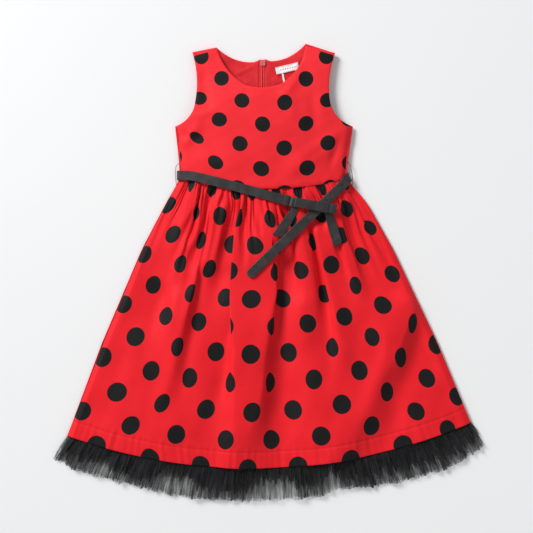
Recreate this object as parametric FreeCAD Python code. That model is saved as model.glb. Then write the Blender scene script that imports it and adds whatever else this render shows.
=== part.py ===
import FreeCAD, Part
import math
import os
from FreeCAD import Vector

# A child's sleeveless dress lying on its back: lined bodice, gathered skirt over a tulle
# petticoat, centre-back zip and a narrow belt with a bow.
# Millimetres. +Z up from the floor, +Y towards the neck, +X to the right of someone facing
# the front of the dress. "left" in a name is the -X side. The origin is on the floor under
# the middle of the whole dress.

# ---------------------------------------------------------------- driving dimensions
FABRIC = 0.8
LINING = 0.5
TULLE = 0.4
LAYER_GAP = 0.4

FLOOR_CLEARANCE = 4.1
FRONT_EDGE_Z = 10.0
SECTION_REACH = 1.03

NECK_LEFT = (-90.0, 383.0)
NECK_RIGHT = (62.0, 390.15)
SHOULDER_LEFT = (-131.0, 375.0)
SHOULDER_RIGHT = (111.5, 374.0)
UNDERARM_Y = 249.0
NECK_DEPTH_FRONT_Y = 313.5
NECK_DEPTH_BACK_Y = 361.0
WAIST_SIDE_Y = 160.0
WAIST_CENTRE_Y = 142.0
BACK_WAIST_Y = 155.0
CENTRE_X = -12.0
SEAM_GAP = 0.3

HEM_LEFT_Y = -278.0
HEM_RIGHT_Y = -256.0
HEM_CENTRE_Y = -331.0
LINING_RISE = 95.0
LINING_INSET = 8.0
LINING_WAIST_DROP = 2.8
TULLE_OVERLAP = 16.0
TULLE_INSET = 2.0
TULLE_LEFT_Y = -322.0
TULLE_RIGHT_Y = -303.5
TULLE_CENTRE = (-12.0, -390.1)
TULLE_INNER_LIFT = 26.0

RAMP_TOP_Y = 40.0
RAMP_END_Y = -120.0

# Down the front: y, left edge, right edge, crown height over the edges, lining below the front.
STATIONS = [
    (410.0, -158.0, 136.0, 0.0, 1.6),
    (376.0, -158.0, 136.0, 1.5, 1.6),
    (300.0, -158.0, 137.0, 14.0, 1.6),
    (UNDERARM_Y, -160.7, 142.0, 15.0, 1.6),
    (190.0, -154.0, 133.5, 13.0, 1.6),
    (WAIST_SIDE_Y, -153.0, 131.5, 12.0, 1.6),
    (120.0, -176.0, 166.0, 14.0, 1.6),
    (RAMP_TOP_Y, -218.0, 211.0, 19.0, 1.6),
    (RAMP_END_Y, -286.0, 287.0, 22.0, 4.0),
    (HEM_LEFT_Y, -345.0, 352.8, 18.0, 4.0),
    (-410.0, -404.0, 414.0, 10.0, 4.0),
]

ZIP_X = -11.6
ZIP_TOP_Y = 366.0
ZIP_BOTTOM_Y = 62.0
ZIP_SLOT = 0.65
TAPE_WIDTH = 13.0
TAPE_THICK = 0.5
TAPE_Z = 5.5
COIL_WIDTH = 1.8
COIL_THICK = 1.4
COIL_BOTTOM_Y = 70.0
COIL_TOP_Y = 362.5
LINING_SETBACK = 6.0
SLIDER_LENGTH = 10.0
SLIDER_WIDTH = 9.0
SLIDER_TOP_Y = 362.5
PULL_PIN_Z = 2.4
PULL_PIN_R = 0.35
PULL_LENGTH = 15.0
RUN_CLEARANCE = 0.05

BACK_LINING_Z = TAPE_Z + TAPE_THICK + 0.2
BACK_LINING_HEM_Z = FABRIC + 2 * TULLE + 3 * LAYER_GAP

BELT_WIDTH = 16.0
BELT_THICK = 1.4
BELT_LEVEL = 1.6
BELT_END_LEVEL = 3.3
HOLE_R = 1.5
BELT_END_START = (123.8, 148.2)
BELT_TIP = (-35.7, -6.0)
HOLE_PITCH = 26.45
HOLE_COUNT = 4
STUD_HOLE = 2
BELT_FRONT = [(35.6, 120.3), (12.0, 126.7), (-7.7, 131.8), (-35.7, 139.6), (-63.8, 147.1),
              (-85.0, 152.8), (-106.3, 158.1), (-124.0, 162.3), (-138.0, 164.8)]
WRAP_LEFT = (-152.0, 165.4)
WRAP_RIGHT = (134.0, 162.6)
WRAP_RIGHT_LEAN = 28.0
KEEPER_FROM = (25.0, 123.2)
KEEPER_TO = (32.5, 121.2)
KEEPER_WALL = 0.8

HINGE_AT = (39.0, 119.2)
HINGE_LEVEL = 3.7
HINGE_BAR_R = 0.8
HINGE_BAR_LENGTH = 15.0
KNUCKLE_WIDTH = 11.0
STRAP_NECK_WIDTH = 9.0
EAR_R = 1.9
BOW_TURN = -9.4
BOW_TILT = 3.7
BOW_START = 3.0
BOW_END = 75.0
BOW_WALL = 0.9
LOOP_HEIGHT = 3.6
KNOT_START = 41.0
KNOT_LENGTH = 19.5
KNOT_WALL = 0.8
PLATE_LOW = 3.2
PLATE_THICK = 0.6
PLATE_END = 66.0
STUD_R = 1.1
TAIL_THICK = 0.8
TAIL_LEFT = [(45.2, 115.1), (44.0, 109.7), (38.5, 99.5), (27.0, 82.0), (13.0, 62.0)]
TAIL_LEFT_WIDTHS = [8.0, 9.0, BELT_WIDTH, BELT_WIDTH, BELT_WIDTH]
TAIL_RIGHT = [(93.8, 109.0), (95.6, 103.4), (99.5, 91.0), (105.0, 70.0), (112.0, 47.5)]
TAIL_ROOT_LEVEL = 4.9

LABEL_CORNER = (12.4, 337.6)
LABEL_SIZE = (40.0, 12.5, 0.5)
LABEL_TURN = 13.0
LABEL_LIFT = 0.1
TAB_BOTTOM = (26.0, 321.0)
TAB_SIZE = (3.0, 18.4, 0.9)
TAB_TURN = 11.0

LOOP_R = 0.6
LOOP_LEFT = [(-154.3, 186.0, 7.2), (-162.4, 165.5, 6.3), (-158.6, 146.0, 7.2)]
LOOP_RIGHT = [(134.2, 191.0, 7.2), (145.4, 165.0, 6.3), (143.2, 144.0, 7.2)]


# ---------------------------------------------------------------- the lying shape
def station_at(y):
    """Left edge, right edge, crown and lining depth at any y, straight between stations."""
    for upper, lower in zip(STATIONS, STATIONS[1:]):
        if y >= lower[0]:
            share = (upper[0] - y) / (upper[0] - lower[0])
            return [a + (b - a) * share for a, b in zip(upper[1:], lower[1:])]
    return list(STATIONS[-1][1:])


def front_height(x, y):
    """Height of the dress front's outer face over the floor."""
    left, right, crown, depth = station_at(y)
    across = (x - (left + right) / 2) / ((right - left) / 2)
    return FRONT_EDGE_Z + crown * (1 - across ** 2)


def edge_left(y, inset=0.0):
    return (station_at(y)[0] + inset, y)


def edge_right(y, inset=0.0):
    return (station_at(y)[1] - inset, y)


def side_points(edge, start_y, end_y, inset=0.0):
    """Points down one side edge, with every station between the two heights."""
    low, high = sorted((start_y, end_y))
    rows = [start_y, end_y] + [s[0] for s in STATIONS if low < s[0] < high]
    rows.sort(reverse=start_y > end_y)
    return [edge(y, inset) for y in rows]


def crown_curve(y, drop):
    """The parabola of the front's crown at one station, and its two ends."""
    left, right, crown, depth = station_at(y)
    centre = (left + right) / 2
    half = (right - left) / 2 * SECTION_REACH
    end_z = FRONT_EDGE_Z + crown * (1 - SECTION_REACH ** 2) - drop
    pole_z = end_z + 2 * crown * SECTION_REACH ** 2
    start = Vector(centre - half, y, end_z)
    end = Vector(centre + half, y, end_z)
    curve = Part.BezierCurve()
    curve.setPoles([start, Vector(centre, y, pole_z), end])
    return curve.toShape(), start, end


def crowned_layer(outline, thickness, drop=0.0, follow_lining=False):
    """A sheet of even depth under the front's outer face, cut to an outline in plan."""
    sections = []
    for station in STATIONS:
        below = station[4] if follow_lining else drop
        top, top_start, top_end = crown_curve(station[0], below)
        base, base_start, base_end = crown_curve(station[0], below + thickness)
        right = Part.makeLine(top_end, base_end)
        left = Part.makeLine(base_start, top_start)
        sections.append(Part.Wire([top, right, base, left]))
    sheet = Part.makeLoft(sections, True, True)
    return sheet.common(prism(outline, -5.0, 60.0))


def flat_layer(outline, thickness, high_z, low_z):
    """A back sheet: high_z under the bodice, sloping over the ramp to low_z at the hem."""
    profile = [(500.0, high_z), (RAMP_TOP_Y, high_z), (RAMP_END_Y, low_z), (-500.0, low_z)]
    points = [Vector(-500.0, y, z) for y, z in profile]
    points += [Vector(-500.0, y, z + thickness) for y, z in reversed(profile)]
    side = Part.Face(Part.makePolygon(points + points[:1]))
    return side.extrude(Vector(1000.0, 0, 0)).common(prism(outline, -5.0, 60.0))


# ---------------------------------------------------------------- outlines and solids
def outline_wire(steps):
    """A closed wire in plan: a 2-tuple is a corner, (via, corner) is an arc to that corner."""
    edges = []
    corner = None
    first = steps[0]
    for step in steps[1:] + [first]:
        start = corner or first
        if isinstance(step[0], tuple):
            arc = Part.Arc(Vector(*start, 0), Vector(*step[0], 0), Vector(*step[1], 0))
            edges.append(arc.toShape())
            corner = step[1]
        elif step != start:
            edges.append(Part.makeLine(Vector(*start, 0), Vector(*step, 0)))
            corner = step
    return Part.Wire(edges)


def prism(steps, low, high):
    face = Part.Face(outline_wire(steps))
    face.translate(Vector(0, 0, low))
    return face.extrude(Vector(0, 0, high - low))


def block(x0, x1, y0, y1, z0, z1):
    return Part.makeBox(x1 - x0, y1 - y0, z1 - z0, Vector(x0, y0, z0))


def half_of(shape, side, gap):
    """The part of a back sheet on one side of the centre-back opening."""
    if side == "left":
        return shape.common(block(-600, ZIP_X - gap, -600, 600, -20, 80))
    return shape.common(block(ZIP_X + gap, 600, -600, 600, -20, 80))


def strip(stations):
    """A strap through quadrilateral sections, each given by its four corners."""
    wires = [Part.makePolygon(corners + corners[:1]) for corners in stations]
    return Part.makeLoft(wires, True, True)


def strap_section(x, y, wide, level, thickness, width):
    """A section lying on the dress front: wide is the direction across the strap."""
    size = math.hypot(*wide)
    dx, dy = (c / size * width / 2 for c in wide)
    left = (x - dx, y - dy)
    right = (x + dx, y + dy)
    low_left = front_height(*left) + level
    low_right = front_height(*right) + level
    return [Vector(*left, low_left), Vector(*right, low_right),
            Vector(*right, low_right + thickness), Vector(*left, low_left + thickness)]


def divided(start, end, count):
    """Points from start to end, both included."""
    return [tuple(a + (b - a) * i / count for a, b in zip(start, end)) for i in range(count + 1)]


def save(shape, node):
    if shape.ShapeType != "Solid" and len(shape.Solids) == 1:
        shape = shape.Solids[0]
    state = "ok" if shape.isValid() and shape.Solids else "BROKEN"
    print(f"{node:26s} {state} solids {len(shape.Solids)} volume {shape.Volume:10.1f}")
    shape.exportStep(f"parts/{node}.step")
    return shape


# ---------------------------------------------------------------- bodice
def armhole_left():
    """From the left underarm up to the shoulder."""
    return [((-139.0, 262.0), (-126.0, 290.0)), ((-123.3, 331.0), SHOULDER_LEFT)]


def armhole_right():
    """From the right shoulder down to the underarm."""
    return [((101.3, 328.0), (102.5, 290.0)), ((118.0, 262.0), edge_right(UNDERARM_Y))]


def bodice_front_outline():
    sides = side_points(edge_right, UNDERARM_Y, WAIST_SIDE_Y)[1:]
    waist = [((CENTRE_X, WAIST_CENTRE_Y), edge_left(WAIST_SIDE_Y))]
    back_up = side_points(edge_left, WAIST_SIDE_Y, UNDERARM_Y)[1:]
    neck = [((-71.0, 344.0), (-40.0, 317.0)), ((-12.0, NECK_DEPTH_FRONT_Y), (18.0, 319.0)),
            ((46.5, 345.0), NECK_RIGHT)]
    return [NECK_RIGHT, SHOULDER_RIGHT] + armhole_right() + sides + waist + back_up \
        + armhole_left() + [NECK_LEFT] + neck


def bodice_back_outline():
    foot = BACK_WAIST_Y + SEAM_GAP
    sides = side_points(edge_right, UNDERARM_Y, foot)[1:]
    back_up = side_points(edge_left, foot, UNDERARM_Y)
    neck = [((-60.0, 364.0), (ZIP_X, NECK_DEPTH_BACK_Y)), ((32.0, 367.5), NECK_RIGHT)]
    return [NECK_RIGHT, SHOULDER_RIGHT] + armhole_right() + sides + back_up \
        + armhole_left() + [NECK_LEFT] + neck


def make_bodice():
    front = bodice_front_outline()
    back = bodice_back_outline()
    save(crowned_layer(front, FABRIC), "bodice_front")
    save(crowned_layer(front, LINING, follow_lining=True), "bodice_lining_front")
    outer = flat_layer(back, FABRIC, FLOOR_CLEARANCE, 0.0)
    inner = flat_layer(back, LINING, BACK_LINING_Z, BACK_LINING_HEM_Z)
    for side in ("left", "right"):
        save(half_of(outer, side, ZIP_SLOT), f"bodice_back_{side}")
        save(half_of(inner, side, LINING_SETBACK), f"bodice_lining_back_{side}")


# ---------------------------------------------------------------- skirt, lining and tulle
def skirt_outline(waist, top_y, lift, inset):
    """Down the right side, round the hem and up the left side; lift raises the hem."""
    right = side_points(edge_right, top_y, HEM_RIGHT_Y + lift, inset)
    left = side_points(edge_left, HEM_LEFT_Y + lift, top_y, inset)
    hem = [((CENTRE_X, HEM_CENTRE_Y + lift), left[0])]
    return right + hem + left[1:] + waist


def tulle_outline(lift):
    """A ruffle from above the lining's hem to the bottom edge, which lift raises."""
    top_lift = LINING_RISE - TULLE_OVERLAP
    right_top = edge_right(HEM_RIGHT_Y + top_lift, TULLE_INSET + LINING_INSET)
    left_top = edge_left(HEM_LEFT_Y + top_lift, TULLE_INSET + LINING_INSET)
    right = edge_right(TULLE_RIGHT_Y + lift)
    left = edge_left(TULLE_LEFT_Y + lift)
    bottom = (TULLE_CENTRE[0], TULLE_CENTRE[1] + lift)
    top = (CENTRE_X, HEM_CENTRE_Y + top_lift)
    return [right_top, right, (bottom, left), left_top, (top, right_top)]


def make_skirt():
    bow_waist = [((CENTRE_X, WAIST_CENTRE_Y - SEAM_GAP), edge_right(WAIST_SIDE_Y - SEAM_GAP))]
    front = skirt_outline(bow_waist, WAIST_SIDE_Y - SEAM_GAP, 0.0, 0.0)
    save(crowned_layer(front, FABRIC), "skirt_front")
    lining_top = WAIST_SIDE_Y - LINING_WAIST_DROP
    lining_waist = [((CENTRE_X, WAIST_CENTRE_Y - SEAM_GAP), edge_right(lining_top, LINING_INSET))]
    lining = skirt_outline(lining_waist, lining_top, LINING_RISE, LINING_INSET)
    save(crowned_layer(lining, LINING, follow_lining=True), "skirt_lining_front")

    back = skirt_outline([edge_right(BACK_WAIST_Y)], BACK_WAIST_Y, 0.0, 0.0)
    outer = flat_layer(back, FABRIC, FLOOR_CLEARANCE, 0.0)
    for side in ("left", "right"):
        save(half_of(outer, side, ZIP_SLOT), f"skirt_back_{side}")
    inside = skirt_outline([edge_right(BACK_WAIST_Y, LINING_INSET)], BACK_WAIST_Y,
                           LINING_RISE, LINING_INSET)
    lining_back = flat_layer(inside, LINING, BACK_LINING_Z, BACK_LINING_HEM_Z)
    placket = block(ZIP_X - LINING_SETBACK, ZIP_X + LINING_SETBACK,
                    ZIP_BOTTOM_Y - 4.0, 200.0, -5.0, 40.0)
    save(lining_back.cut(placket), "skirt_lining_back")


def make_tulle():
    step = TULLE + LAYER_GAP
    under_front = FABRIC + LAYER_GAP
    for name, lift, order in (("outer", 0.0, 0), ("inner", TULLE_INNER_LIFT, 1)):
        plan = tulle_outline(lift)
        save(crowned_layer(plan, TULLE, under_front + order * step), f"tulle_{name}_front")
        height = FABRIC + LAYER_GAP + order * step
        save(flat_layer(plan, TULLE, height, height), f"tulle_{name}_back")


# ---------------------------------------------------------------- zip
def make_zip():
    coil_z = TAPE_Z + TAPE_THICK
    for side, sign in (("left", -1), ("right", 1)):
        tape_x = sorted((ZIP_X + sign * ZIP_SLOT, ZIP_X + sign * TAPE_WIDTH))
        coil_x = sorted((ZIP_X + sign * ZIP_SLOT, ZIP_X + sign * (ZIP_SLOT + COIL_WIDTH)))
        tape = block(*tape_x, ZIP_BOTTOM_Y, ZIP_TOP_Y - 6.0, TAPE_Z, TAPE_Z + TAPE_THICK)
        save(tape, f"zip_tape_{side}")
        coil = block(*coil_x, COIL_BOTTOM_Y, COIL_TOP_Y - 4.0, coil_z, coil_z + COIL_THICK)
        ridge = [e for e in coil.Edges if abs(e.CenterOfMass.z - coil_z - COIL_THICK) < 0.01
                 and e.Length > 20.0]
        save(coil.makeFillet(0.5, ridge), f"zip_coil_{side}")
    stop_z = coil_z + COIL_THICK
    stops = []
    for sign in (-1, 1):
        inner = ZIP_X + sign * (ZIP_SLOT + 0.1)
        outer = ZIP_X + sign * (ZIP_SLOT + COIL_WIDTH + 0.2)
        x0, x1 = sorted((inner, outer))
        stops.append(block(x0, x1, COIL_TOP_Y - 4.0, COIL_TOP_Y - 2.6, coil_z, stop_z))
    save(Part.makeCompound(stops), "zip_top_stops")
    bar = block(ZIP_X - 3.0, ZIP_X + 3.0, COIL_BOTTOM_Y - 2.4, COIL_BOTTOM_Y, coil_z, stop_z + 0.3)
    save(bar, "zip_bottom_stop")


def make_slider():
    """Inner body round the coils, a neck through the opening and an outer plate with lugs."""
    coil_z = TAPE_Z + TAPE_THICK
    top_y = SLIDER_TOP_Y
    low_y = top_y - SLIDER_LENGTH
    half = SLIDER_WIDTH / 2
    roof_z = coil_z + COIL_THICK + 0.12
    roof = block(ZIP_X - half, ZIP_X + half, low_y, top_y, roof_z, roof_z + 1.0)
    corners = [e for e in roof.Edges if abs(e.Vertexes[0].Z - e.Vertexes[1].Z) > 0.5]
    roof = roof.makeFillet(2.0, corners)
    inner = ZIP_SLOT + COIL_WIDTH + 0.35
    walls = [block(ZIP_X - half, ZIP_X - inner, low_y + 2.0, top_y - 2.0, coil_z + 0.12, roof_z),
             block(ZIP_X + inner, ZIP_X + half, low_y + 2.0, top_y - 2.0, coil_z + 0.12, roof_z)]
    plate_low = PULL_PIN_Z + 2 * PULL_PIN_R + 0.1
    plate_high = plate_low + 0.6
    neck = block(ZIP_X - 0.5, ZIP_X + 0.5, top_y - 5.0, top_y - 1.0, plate_high, roof_z)
    plate = block(ZIP_X - 2.6, ZIP_X + 2.6, low_y + 0.5, top_y - 0.5, plate_low, plate_high)
    body = roof.fuse(walls + [neck, plate])
    for side in (-1, 1):
        x0, x1 = sorted((ZIP_X + side * 1.6, ZIP_X + side * 2.4))
        body = body.fuse(block(x0, x1, pull_pin_y() - 0.9, pull_pin_y() + 0.9,
                               PULL_PIN_Z - 0.6, plate_low))
    pin = Part.makeCylinder(PULL_PIN_R, 4.4, Vector(ZIP_X - 2.2, pull_pin_y(), PULL_PIN_Z),
                            Vector(1, 0, 0))
    save(body.fuse(pin).removeSplitter(), "zip_slider")


def pull_pin_y():
    return SLIDER_TOP_Y - SLIDER_LENGTH / 2


def make_pull():
    """A flat drop-shaped pull on the slider's cross pin, lying against the back."""
    y = pull_pin_y()
    tip_y = y - PULL_LENGTH
    eye = Part.makeCylinder(2 * PULL_PIN_R, 2.8, Vector(ZIP_X - 1.4, y, PULL_PIN_Z), Vector(1, 0, 0))
    blade = prism([(ZIP_X - 1.2, y), (ZIP_X + 1.2, y), (ZIP_X + 1.2, y - 3.0),
                   (ZIP_X + 2.4, tip_y + 3.0), ((ZIP_X, tip_y), (ZIP_X - 2.4, tip_y + 3.0)),
                   (ZIP_X - 1.2, y - 3.0)], PULL_PIN_Z - 0.4, PULL_PIN_Z + 0.4)
    bore = Part.makeCylinder(PULL_PIN_R + RUN_CLEARANCE, 6.0, Vector(ZIP_X - 3.0, y, PULL_PIN_Z),
                             Vector(1, 0, 0))
    save(eye.fuse(blade).cut(bore).removeSplitter(), "zip_pull")


# ---------------------------------------------------------------- labels and belt loops
def flat_label(corner, size, turn):
    """A thin label on the back lining, turned about its lower left corner."""
    label = Part.makeBox(*size, Vector(*corner, BACK_LINING_Z + LINING + LABEL_LIFT))
    label.rotate(Vector(*corner, 0), Vector(0, 0, 1), turn)
    return label


def make_labels():
    save(flat_label(LABEL_CORNER, LABEL_SIZE, LABEL_TURN), "neck_label")
    tab_corner = (TAB_BOTTOM[0] - TAB_SIZE[0] / 2, TAB_BOTTOM[1])
    save(flat_label(tab_corner, TAB_SIZE, TAB_TURN), "size_tab")


def thread_loop(top, middle, bottom):
    """A worked thread loop: a round cord on one arc round the outside of the belt."""
    arc = Part.Arc(Vector(*top), Vector(*middle), Vector(*bottom)).toShape()
    start = arc.valueAt(arc.FirstParameter)
    ring = Part.Wire([Part.Circle(start, arc.tangentAt(arc.FirstParameter), LOOP_R).toShape()])
    return Part.Wire([arc]).makePipeShell([ring], True, True)


def make_belt_loops():
    save(thread_loop(*LOOP_LEFT), "belt_loop_left")
    save(thread_loop(*LOOP_RIGHT), "belt_loop_right")


# ---------------------------------------------------------------- belt
def wrap_sections(centre, outward, wide, width):
    """Half a turn round the dress's side, from the front run down to the back run."""
    middle = (FRONT_EDGE_Z + BELT_LEVEL + BELT_THICK) / 2
    sections = []
    for turn in range(90, -91, -20):
        cosine = math.cos(math.radians(turn))
        sine = math.sin(math.radians(turn))
        corners = []
        for radius, side in ((middle - BELT_THICK, -1), (middle - BELT_THICK, 1),
                             (middle, 1), (middle, -1)):
            x = centre[0] + outward[0] * radius * cosine + wide[0] * side * width / 2
            y = centre[1] + outward[1] * radius * cosine + wide[1] * side * width / 2
            corners.append(Vector(x, y, middle + radius * sine))
        sections.append(corners)
    return sections


def strap_run(points, levels, widths, thickness):
    """Sections of a strap lying along points in plan, its wide side to the run's right."""
    sections = []
    for i, point in enumerate(points):
        before = points[max(i - 1, 0)]
        after = points[min(i + 1, len(points) - 1)]
        wide = (after[1] - before[1], before[0] - after[0])
        sections.append(strap_section(*point, wide, levels[i], thickness, widths[i]))
    return sections


def bow_direction():
    turn = math.radians(BOW_TURN)
    return (math.cos(turn), math.sin(turn))


def from_hinge(distance):
    """A point in plan, a distance along the bow from the hinge."""
    way = bow_direction()
    return (HINGE_AT[0] + way[0] * distance, HINGE_AT[1] + way[1] * distance)


def end_direction():
    run = (BELT_TIP[0] - BELT_END_START[0], BELT_TIP[1] - BELT_END_START[1])
    size = math.hypot(*run)
    return (run[0] / size, run[1] / size)


def hole_centre(number):
    way = end_direction()
    return (BELT_END_START[0] + way[0] * HOLE_PITCH * number,
            BELT_END_START[1] + way[1] * HOLE_PITCH * number)


def placed_on_bow(shape):
    """From the bow's own axes (along, across, up from the hinge bar) to the dress's."""
    shape.rotate(Vector(0, 0, 0), Vector(0, 1, 0), BOW_TILT)
    shape.rotate(Vector(0, 0, 0), Vector(0, 0, 1), BOW_TURN)
    shape.translate(Vector(*HINGE_AT, front_height(*HINGE_AT) + HINGE_LEVEL))
    return shape


def cross_cylinder(radius, length):
    return Part.makeCylinder(radius, length, Vector(0, -length / 2, 0), Vector(0, 1, 0))


def make_strap():
    """One strap: knuckle, left front run, round the back, and the free end with its holes."""
    front = [from_hinge(-1.2), from_hinge(-2.5)] + BELT_FRONT
    widths = [STRAP_NECK_WIDTH] * 2 + [BELT_WIDTH] * len(BELT_FRONT)
    sections = strap_run(front, [BELT_LEVEL] * len(front), widths, BELT_THICK)
    sections += wrap_sections(WRAP_LEFT, (-1.0, 0.0), (0.0, 1.0), BELT_WIDTH)
    lean = math.radians(WRAP_RIGHT_LEAN)
    fold = (-math.sin(lean), math.cos(lean))
    out = (math.cos(lean), math.sin(lean))
    sections += reversed(wrap_sections(WRAP_RIGHT, out, fold, BELT_WIDTH / math.cos(lean / 2)))
    free = divided(BELT_END_START, BELT_TIP, 10)
    step = (BELT_END_LEVEL - BELT_LEVEL) / 3
    levels = [min(BELT_END_LEVEL, BELT_LEVEL + step * (i + 1)) for i in range(len(free))]
    sections += strap_run(free, levels, [BELT_WIDTH] * len(free), BELT_THICK)
    strap = strip(sections)

    way = end_direction()
    round_at = (BELT_TIP[0] - way[0] * BELT_WIDTH / 2, BELT_TIP[1] - way[1] * BELT_WIDTH / 2)
    corners = block(0, BELT_WIDTH, -BELT_WIDTH, BELT_WIDTH, 0, 60)
    corners = corners.cut(Part.makeCylinder(BELT_WIDTH / 2, 60))
    corners.rotate(Vector(0, 0, 0), Vector(0, 0, 1), math.degrees(math.atan2(way[1], way[0])))
    corners.translate(Vector(*round_at, 0))
    strap = strap.cut(corners)
    for number in range(HOLE_COUNT):
        strap = strap.cut(Part.makeCylinder(HOLE_R, 40, Vector(*hole_centre(number), 15)))

    knuckle = cross_cylinder(HINGE_BAR_R + BELT_THICK, KNUCKLE_WIDTH)
    knuckle = knuckle.cut(cross_cylinder(HINGE_BAR_R, KNUCKLE_WIDTH + 2))
    save(strap.fuse(placed_on_bow(knuckle)), "belt_strap")
    save(placed_on_bow(cross_cylinder(HINGE_BAR_R, HINGE_BAR_LENGTH)), "belt_hinge_bar")


def make_keeper():
    """A band round the strap beside the bow."""
    points = divided(KEEPER_FROM, KEEPER_TO, 2)
    inside = divided(KEEPER_FROM, KEEPER_TO, 2)
    gap = 0.1
    wide = BELT_WIDTH + 2 * (gap + KEEPER_WALL)
    low = BELT_LEVEL - gap
    outer = strip(strap_run(points, [low - KEEPER_WALL] * 3, [wide] * 3,
                            BELT_THICK + 2 * (gap + KEEPER_WALL)))
    hollow = strip(strap_run(inside, [low] * 3, [BELT_WIDTH + 2 * gap] * 3, BELT_THICK + 2 * gap))
    save(outer.cut(hollow), "belt_keeper")


def make_bow():
    half = BELT_WIDTH / 2
    ear_out = HINGE_BAR_LENGTH / 2 - 0.2
    ear_in = KNUCKLE_WIDTH / 2 + 0.3
    plate = block(1.0, PLATE_END, -ear_out, ear_out, PLATE_LOW, PLATE_LOW + PLATE_THICK)
    for side in (-1, 1):
        y0, y1 = sorted((side * ear_in, side * ear_out))
        disc = Part.makeCylinder(EAR_R, y1 - y0, Vector(0, y0, 0), Vector(0, 1, 0))
        plate = plate.fuse([disc, block(0.0, 3.0, y0, y1, 0.0, PLATE_LOW + PLATE_THICK)])
    plate = plate.cut(cross_cylinder(HINGE_BAR_R + RUN_CLEARANCE, 2 * BELT_WIDTH))
    stud_hole = hole_centre(STUD_HOLE)
    stud_at = math.hypot(stud_hole[0] - HINGE_AT[0], stud_hole[1] - HINGE_AT[1])
    stud = Part.makeCylinder(STUD_R, PLATE_LOW + 0.4, Vector(stud_at, 0, -0.4))
    save(placed_on_bow(plate.fuse(stud).removeSplitter()), "bow_clasp_plate")

    low = PLATE_LOW + PLATE_THICK + KNOT_WALL + 0.2
    loops = rounded_bar(BOW_START, BOW_END, low, LOOP_HEIGHT, half)
    hollow = rounded_bar(BOW_START + BOW_WALL, BOW_END - BOW_WALL, low + BOW_WALL,
                         LOOP_HEIGHT - 2 * BOW_WALL, half + 1)
    save(placed_on_bow(loops.cut(hollow)), "bow_loops")

    gap = 0.1
    knot = block(KNOT_START, KNOT_START + KNOT_LENGTH, -half - gap - KNOT_WALL,
                 half + gap + KNOT_WALL, low - gap - KNOT_WALL, low + LOOP_HEIGHT + gap + KNOT_WALL)
    inner = block(KNOT_START - 1, KNOT_START + KNOT_LENGTH + 1, -half - gap, half + gap,
                  low - gap, low + LOOP_HEIGHT + gap)
    save(placed_on_bow(knot.cut(inner)), "bow_knot")

    levels = [BELT_LEVEL] * len(TAIL_LEFT)
    left = strip(strap_run(TAIL_LEFT, levels, TAIL_LEFT_WIDTHS, TAIL_THICK))
    save(left, "bow_tail_left")
    levels = [TAIL_ROOT_LEVEL] * 2 + [BELT_LEVEL] * (len(TAIL_RIGHT) - 2)
    right = strip(strap_run(TAIL_RIGHT, levels, [BELT_WIDTH] * len(TAIL_RIGHT), TAIL_THICK))
    save(right, "bow_tail_right")


def rounded_bar(start, end, low, height, half_width):
    """A bar across the bow with fully rounded ends, seen from the side."""
    r = height / 2
    top = low + height
    side = [Part.makeLine(Vector(start + r, -half_width, low), Vector(end - r, -half_width, low)),
            Part.Arc(Vector(end - r, -half_width, low), Vector(end, -half_width, low + r),
                     Vector(end - r, -half_width, top)).toShape(),
            Part.makeLine(Vector(end - r, -half_width, top), Vector(start + r, -half_width, top)),
            Part.Arc(Vector(start + r, -half_width, top), Vector(start, -half_width, low + r),
                     Vector(start + r, -half_width, low)).toShape()]
    return Part.Face(Part.Wire(side)).extrude(Vector(0, 2 * half_width, 0))


def report_hinge():
    height = front_height(*HINGE_AT) + HINGE_LEVEL
    way = bow_direction()
    print(f"bow hinge at {HINGE_AT[0]:.3f} {HINGE_AT[1]:.3f} {height:.3f}, "
          f"axis {way[1]:.5f} {-way[0]:.5f} 0")
    print(f"zip pull pin at {ZIP_X:.3f} {pull_pin_y():.3f} {PULL_PIN_Z:.3f}")


os.makedirs("parts", exist_ok=True)
for make in (make_bodice, make_skirt, make_tulle, make_zip, make_slider, make_pull, make_labels,
             make_belt_loops, make_strap, make_keeper, make_bow, report_hinge):
    make()
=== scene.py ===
"""Looks for a child's sleeveless polka-dot dress that lies on its back on a pale floor.

Shapes are worked out in millimetres, in the same frame as the design: +Z up from the floor,
+Y towards the neck, +X to the right of someone facing the front. "left" is the -X side.
"""
import math

import bpy
import numpy as np
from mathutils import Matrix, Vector, geometry


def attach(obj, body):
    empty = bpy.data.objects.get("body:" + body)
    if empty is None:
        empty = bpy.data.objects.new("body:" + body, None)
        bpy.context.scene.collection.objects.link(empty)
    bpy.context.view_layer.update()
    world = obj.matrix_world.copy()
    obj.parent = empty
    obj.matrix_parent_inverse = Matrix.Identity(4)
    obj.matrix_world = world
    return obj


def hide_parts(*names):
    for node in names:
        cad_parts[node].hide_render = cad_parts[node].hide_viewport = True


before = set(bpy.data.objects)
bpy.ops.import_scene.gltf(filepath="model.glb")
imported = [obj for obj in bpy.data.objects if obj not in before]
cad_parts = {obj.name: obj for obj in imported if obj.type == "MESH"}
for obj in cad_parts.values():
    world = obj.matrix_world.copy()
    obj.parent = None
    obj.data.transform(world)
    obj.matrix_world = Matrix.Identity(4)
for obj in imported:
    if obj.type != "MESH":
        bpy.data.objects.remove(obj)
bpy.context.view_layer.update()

MM = 0.001
X, Y, UP = np.eye(3)

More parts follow.
